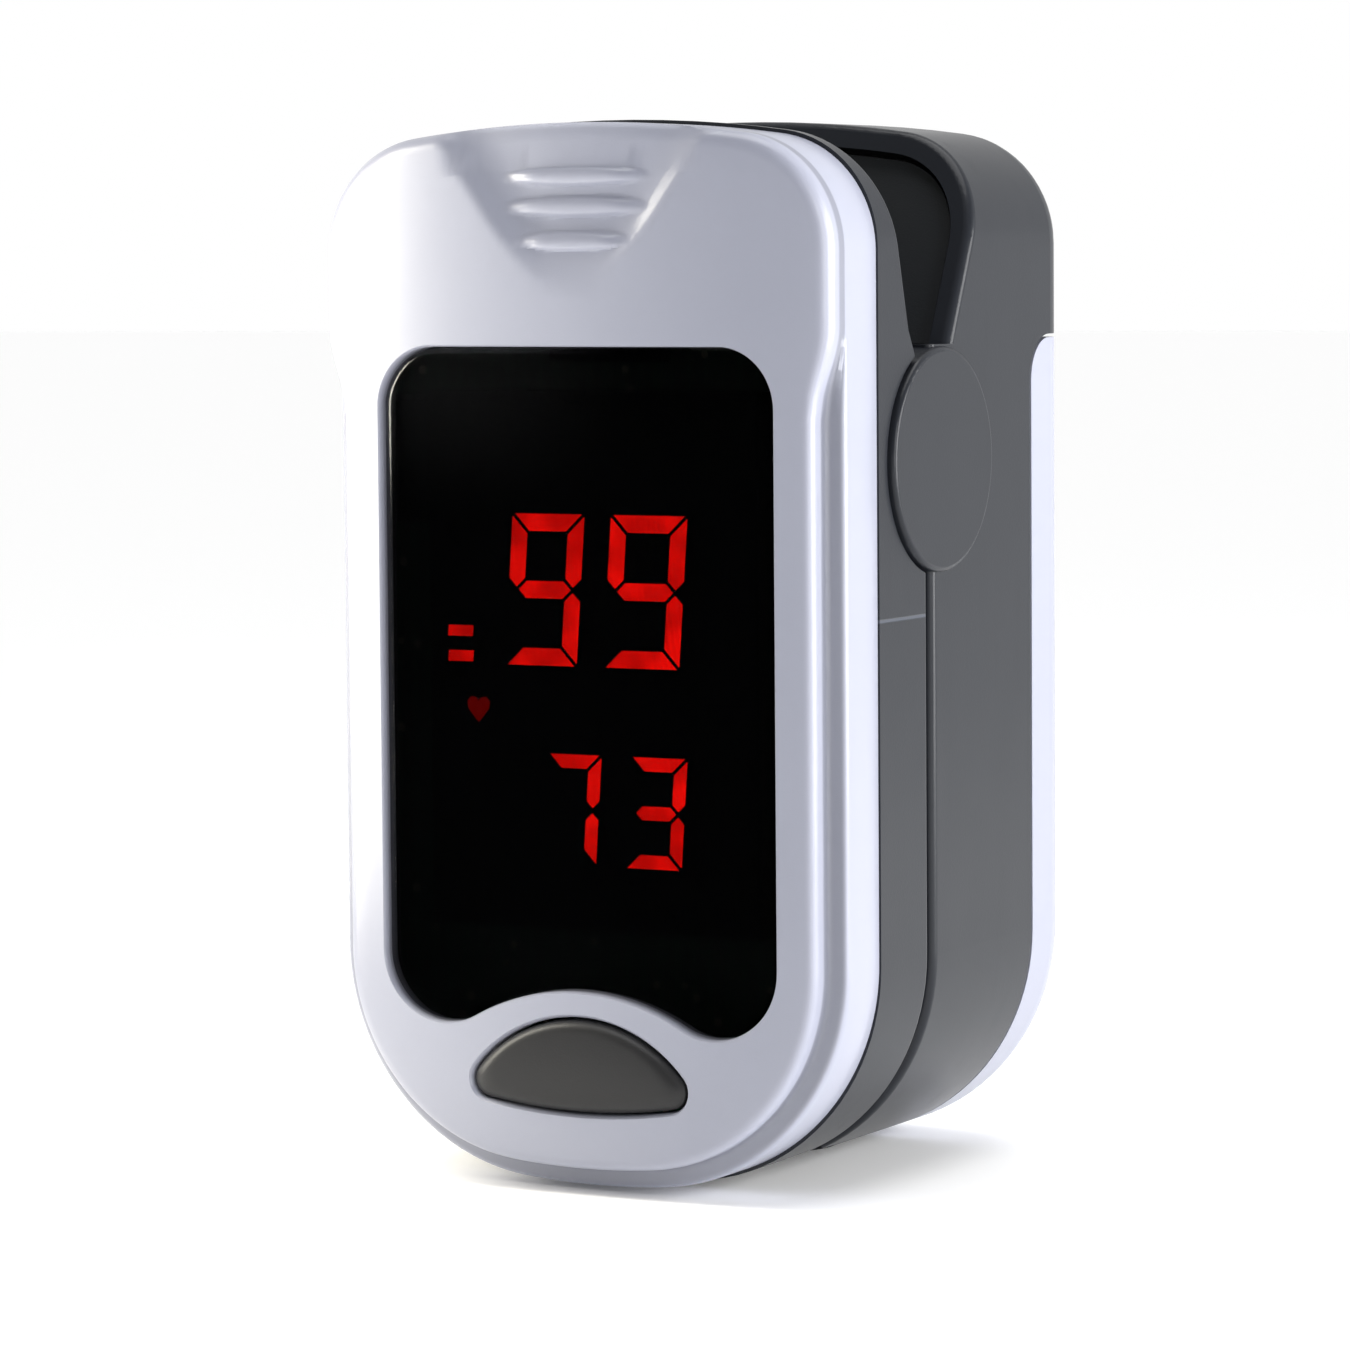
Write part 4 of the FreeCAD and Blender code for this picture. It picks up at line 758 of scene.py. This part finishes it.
class BuildButton(bpy.types.Operator):
    """Domed half-moon power button"""
    bl_idname = "oximeter.button"
    bl_label = "Power button"

    def execute(self, context):
        shape = ButtonOutline(0.0)
        bm = bmesh.new()
        bmesh.ops.create_grid(bm, x_segments=72, y_segments=28, size=1.0)
        for vert in bm.verts:
            u, v = math.sin(vert.co.x * math.pi / 2), math.sin(vert.co.y * math.pi / 2)
            x = shape.half * u
            low, high = shape.span(x)
            z = low + (high - low) * (v + 1) / 2
            edge = min(1.0, (1 - u * u) * (1 - v * v) / 0.42)
            roll = 1 - (1 - edge) ** 2.4
            crown = BUTTON_CROWN * (1 - u * u) * (1 - v * v)
            vert.co = (x, BUTTON_RIM - BUTTON_ROLL * roll - crown, z)
        rim = [edge for edge in bm.edges if edge.is_boundary]
        made = bmesh.ops.extrude_edge_only(bm, edges=rim)["geom"]
        skirt = [item for item in made if isinstance(item, bmesh.types.BMVert)]
        for vert in skirt:
            vert.co.y = BUTTON_BACK
        base = [item for item in made if isinstance(item, bmesh.types.BMEdge)]
        bmesh.ops.contextual_create(bm, geom=base)
        satin = moulded_plastic("button grey", colours().button, roughness=0.36, grain=2.0,
                                coat=0.0, gloss=0.27)
        finish_piece("button_cap", bm, satin, "power_button",
                     ("power_button",), 50.0)
        return {"FINISHED"}


def soften_node(name, material, body):
    """A moulded copy of a CAD node: evenly meshed, with its edges melted round."""
    source = frame["nodes"][name]
    copy = bpy.data.objects.new(name + "_moulded", source.data.copy())
    bpy.context.scene.collection.objects.link(copy)
    mesher = copy.modifiers.new("even", "REMESH")
    mesher.mode = "VOXEL"
    mesher.voxel_size = PAD_VOXEL * MM
    relax = copy.modifiers.new("melt", "SMOOTH")
    relax.factor = 0.5
    relax.iterations = PAD_PASSES
    bpy.context.view_layer.update()
    graph = bpy.context.evaluated_depsgraph_get()
    mesh = bpy.data.meshes.new_from_object(copy.evaluated_get(graph))
    old = copy.data
    bpy.data.objects.remove(copy)
    bpy.data.meshes.remove(old)
    piece = finish_mesh(name + "_soft", mesh, material, body, (name,), 180.0)


class BuildPads(bpy.types.Operator):
    """Two silicone finger pads with soft lips"""
    bl_idname = "oximeter.pads"
    bl_label = "Finger pads"

    def execute(self, context):
        rubber = soft_silicone("pad silicone", colours().silicone)
        for node, body in (("upper_finger_pad", "display_half"),
                           ("lower_finger_pad", "battery_half")):
            soften_node(node, rubber, body)
        return {"FINISHED"}


def swept_strip(path, half_width, thick):
    """A flat strip of even thickness along (y, z) points, as a bmesh."""
    bm = bmesh.new()
    loops = []
    for index, point in enumerate(path):
        before = path[max(0, index - 1)]
        after = path[min(len(path) - 1, index + 1)]
        along = (after - before).normalized()
        side = Vector((-along.y, along.x)) * thick / 2
        over, under = point + side, point - side
        loops.append([(-half_width, over.x, over.y), (half_width, over.x, over.y),
                      (half_width, under.x, under.y), (-half_width, under.x, under.y)])
    loft(bm, loops)
    return bm


def smooth_path(corners, rounds):
    """Corner cutting: a soft path through (y, z) corners that keeps its two ends."""
    points = [Vector(corner) for corner in corners]
    for _ in range(rounds):
        cut = [points[0]]
        for first, second in zip(points, points[1:]):
            cut += [first.lerp(second, 0.25), first.lerp(second, 0.75)]
        points = cut + [points[-1]]
    return points


class BuildFlex(bpy.types.Operator):
    """Amber flex strip, riding on neither half"""
    bl_idname = "oximeter.flex"
    bl_label = "Flex strip"

    def execute(self, context):
        bm = swept_strip(smooth_path(FLEX_PATH, 4), FLEX_HALF, FLEX_THICK)
        bmesh.ops.subdivide_edges(bm, edges=[e for e in bm.edges if e.calc_length() > 3], cuts=6)
        piece = finish_piece("flex_strip", bm, polyimide_film("polyimide"), "battery_half",
                             ("flex_cable",), 40.0)
        release(piece)
        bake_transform(piece)
        return {"FINISHED"}


def release(piece):
    """Take a piece off its body."""
    piece.parent = None
    piece.matrix_world = Matrix.Identity(4)
    del piece["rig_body"]


class BuildSprings(bpy.types.Operator):
    """Torsion springs copied from the CAD nodes, riding on neither half"""
    bl_idname = "oximeter.springs"
    bl_label = "Torsion springs"

    def execute(self, context):
        steel = plated_metal("spring steel", (0.42, 0.43, 0.45), 0.24)
        for side, name in ((-1, "left"), (1, "right")):
            node = "torsion_spring_" + name
            mesh = frame["nodes"][node].data.copy()
            piece = finish_mesh(f"spring_{name}", mesh, steel, "battery_half",
                                (node,), 40.0)
            release(piece)
            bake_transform(piece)
        return {"FINISHED"}


# ------------------------------------------------------------------ finishes of CAD nodes

SKIRT_LINE = 0.0316  # z of the bumped groove with a painted highlight round the front shell, in metres


class DressShells(bpy.types.Operator):
    """Finishes of the grey shells, the hinge caps, the white door and the dark panels"""
    bl_idname = "oximeter.shells"
    bl_label = "Shells and door"

    def execute(self, context):
        shades = colours()
        gloss = {"roughness": 0.3, "grain": 1.0, "coat": 0.16, "gloss": 0.14}
        grey = moulded_plastic("shell grey", shades.shell, **gloss)
        for name in ("back_shell", "hinge_cap_left", "hinge_cap_right"):
            dress(name, grey)
        # The front shell carries the bumped groove with its painted highlight.
        lined = moulded_plastic("shell grey with witness line", shades.shell,
                                painted_highlight_groove=SKIRT_LINE, **gloss)
        dress("front_shell", lined)
        door = moulded_plastic("door white", tint(shades.cover, 0.97), roughness=0.34,
                               grain=1.0, coat=0.1)
        dress("battery_door", door)
        slate = moulded_plastic("panel slate", shades.slate, roughness=0.4, grain=1.6,
                                coat=0.0, gloss=0.4)
        dress("front_tray", slate)
        dress("back_tray", slate)
        return {"FINISHED"}


class DressElectronics(bpy.types.Operator):
    """Finishes of the display, boards, chips, contacts, cells and optics"""
    bl_idname = "oximeter.electronics"
    bl_label = "Electronics"

    def execute(self, context):
        shades = colours()
        glow = lit_figures("lit red", shades.lit)
        dress("display_digits", glow)
        dress("pulse_bars", glow)
        dress("heart_icon", lit_figures("dim red", tint(shades.lit, 0.1)))
        black = moulded_plastic("housing black", (0.0006, 0.0006, 0.0006), roughness=0.6,
                                grain=1.0, coat=0.0, gloss=0.0)
        for name in ("display_module", "switch_body", "controller_chip"):
            dress(name, black)
        mask = circuit_board("solder mask", (0.012, 0.11, 0.05))
        dress("main_board", mask)
        dress("sensor_board", mask)
        nickel = plated_metal("nickel plate", (0.62, 0.61, 0.57), 0.22)
        for name in ("crystal_can", "board_screws", "contact_bridge", "contact_positive",
                     "contact_negative", "cell_spring_lower", "cell_spring_upper",
                     "hinge_pin_left", "hinge_pin_right"):
            dress(name, nickel)
        dress("switch_plunger", moulded_plastic("plunger", (0.35, 0.34, 0.3), roughness=0.4,
                                                grain=1.0, coat=0.0))
        dress("board_capacitors", moulded_plastic("ceramic tan", (0.42, 0.3, 0.17),
                                                  roughness=0.5, grain=2.0, coat=0.0))
        sleeve = cell_sleeve("cell sleeve")
        dress("cell_left", sleeve)
        dress("cell_right", sleeve)
        lens = tinted_lens("deep red lens")
        for name in ("emitter_led", "emitter_window", "sensor_window", "photodiode"):
            dress(name, lens)
        return {"FINISHED"}


# ------------------------------------------------------------------ stage

CAMERA = {"azimuth": 28.668, "elevation": 4.508, "roll": -0.459, "distance": 300.588,
          "lens": 141.0, "target": (-1.376, -1.0, 27.597)}
PAPER_GLOW = 0.06
HORIZON = (0.06, 0.14)
# name, place, target and size in millimetres, and warmth of each soft light
LAMPS = (("graze", (-50, -28, 42), (0, -15, 32), (12, 64), 0.84),
         ("side", (250, 70, 60), (12, 0, 30), (140, 160), 1.0),
         ("strip", (250, -125, 95), (12, -4, 40), (95, 160), 1.0))


def aim_camera(scene):
    """The camera of the main view, from its angles, distance and target."""
    azimuth, elevation = math.radians(CAMERA["azimuth"]), math.radians(CAMERA["elevation"])
    roll = math.radians(CAMERA["roll"])
    back = Vector((math.sin(azimuth) * math.cos(elevation),
                   -math.cos(azimuth) * math.cos(elevation), math.sin(elevation)))
    level = Vector((0, 0, 1)).cross(back).normalized()
    upright = back.cross(level)
    right = level * math.cos(roll) + upright * math.sin(roll)
    up = upright * math.cos(roll) - level * math.sin(roll)
    data = bpy.data.cameras.new("camera")
    data.lens = CAMERA["lens"]
    data.sensor_width = 36.0
    data.clip_start = 0.01
    camera = bpy.data.objects.new("camera", data)
    place = (Vector(CAMERA["target"]) + back * CAMERA["distance"]) * MM
    camera.matrix_world = Matrix.Translation(place) @ Matrix(
        (right, up, back)).transposed().to_4x4()
    scene.collection.objects.link(camera)
    scene.camera = camera


def soft_light(scene, name, power, place, target, size, warmth):
    """A rectangular light that the camera doesn't see, aimed at a point."""
    data = bpy.data.lights.new(name, "AREA")
    data.energy = power
    data.shape = "RECTANGLE"
    data.color = (1.0, warmth ** 0.25, warmth)
    data.size, data.size_y = (extent * MM for extent in size)
    lamp = bpy.data.objects.new(name, data)
    lamp.location = Vector(place) * MM
    aim = (Vector(target) - Vector(place)).to_track_quat("-Z", "Y")
    lamp.rotation_mode = "QUATERNION"
    lamp.rotation_quaternion = aim
    lamp.visible_camera = False
    scene.collection.objects.link(lamp)


def studio_world(scene, room, rear):
    """White at the horizon and behind, dimmer in front, so polished faces stay dark."""
    world = bpy.data.worlds.new("studio white")
    world.use_nodes = True
    graph = Graph(world.node_tree)
    source = graph.node("ShaderNodeTexCoord")
    along = graph.node("ShaderNodeSeparateXYZ", None, (source,), 1)
    height = graph.node("ShaderNodeSeparateXYZ", None, (source,), 2)
    horizon = height.ramp(*HORIZON, 1.0, 0.0)
    light = height.maths("MAXIMUM", horizon, along.ramp(-0.2, 0.7, room, rear))
    graph.tree.links.new(light.socket, world.node_tree.nodes["Background"].inputs["Strength"])
    world.node_tree.nodes["Background"].inputs["Color"].default_value = (1.0, 1.0, 1.0, 1.0)
    scene.world = world


class BuildStage(bpy.types.Operator):
    """Pale floor, soft lights, white surroundings and the camera"""
    bl_idname = "oximeter.stage"
    bl_label = "Stage"

    def execute(self, context):
        scene = context.scene
        power = scene.oximeter_lights
        bm = bmesh.new()
        bmesh.ops.create_grid(bm, x_segments=2, y_segments=2, size=3.0)
        mesh = bpy.data.meshes.new("studio_floor")
        bm.to_mesh(mesh)
        bm.free()
        floor = bpy.data.objects.new("studio_floor", mesh)
        paper = Finish("studio paper", Roughness=0.9)
        paper.set("Base Color", colours().floor)
        paper.set("Emission Color", colours().floor)
        paper.set("Emission Strength", PAPER_GLOW)
        mesh.materials.append(paper.material)
        scene.collection.objects.link(floor)
        studio_world(scene, power.room, power.rear)
        ceiling = bpy.data.lights.new("ceiling", "SUN")
        ceiling.energy = power.ceiling
        ceiling.angle = math.radians(50)
        scene.collection.objects.link(bpy.data.objects.new("ceiling", ceiling))
        for name, place, target, size, warmth in LAMPS:
            soft_light(scene, name, getattr(power, name), place, target, size, warmth)
        scene.view_settings.view_transform = "Standard"
        aim_camera(scene)
        return {"FINISHED"}


# ------------------------------------------------------------------ panel and run

STEPS = (BuildCover, BuildWindow, BuildButton, BuildPads, BuildFlex, BuildSprings,
         DressShells, DressElectronics, BuildStage)


class OximeterPanel(bpy.types.Panel):
    """Sizes, colours and lights, and a button for each building step"""
    bl_idname = "VIEW3D_PT_oximeter"
    bl_label = "Pulse Oximeter"
    bl_space_type = "VIEW_3D"
    bl_region_type = "UI"
    bl_category = "Oximeter"

    def draw(self, context):
        for group in (context.scene.oximeter_colours, context.scene.oximeter_cover,
                      context.scene.oximeter_lights):
            box = self.layout.box()
            for setting in group.__annotations__:
                box.prop(group, setting)
        for step in STEPS:
            self.layout.operator(step.bl_idname)


CLASSES = (OximeterColours, CoverSizes, LightLevels, *STEPS, OximeterPanel)


def register():
    for cls in CLASSES:
        bpy.utils.register_class(cls)
    bpy.types.Scene.oximeter_colours = PointerProperty(type=OximeterColours)
    bpy.types.Scene.oximeter_cover = PointerProperty(type=CoverSizes)
    bpy.types.Scene.oximeter_lights = PointerProperty(type=LightLevels)


def unregister():
    del bpy.types.Scene.oximeter_lights
    del bpy.types.Scene.oximeter_cover
    del bpy.types.Scene.oximeter_colours
    for cls in reversed(CLASSES):
        bpy.utils.unregister_class(cls)


def main():
    register()
    for step in STEPS:
        group, name = step.bl_idname.split(".")
        getattr(getattr(bpy.ops, group), name)()


if __name__ == "__main__":
    main()
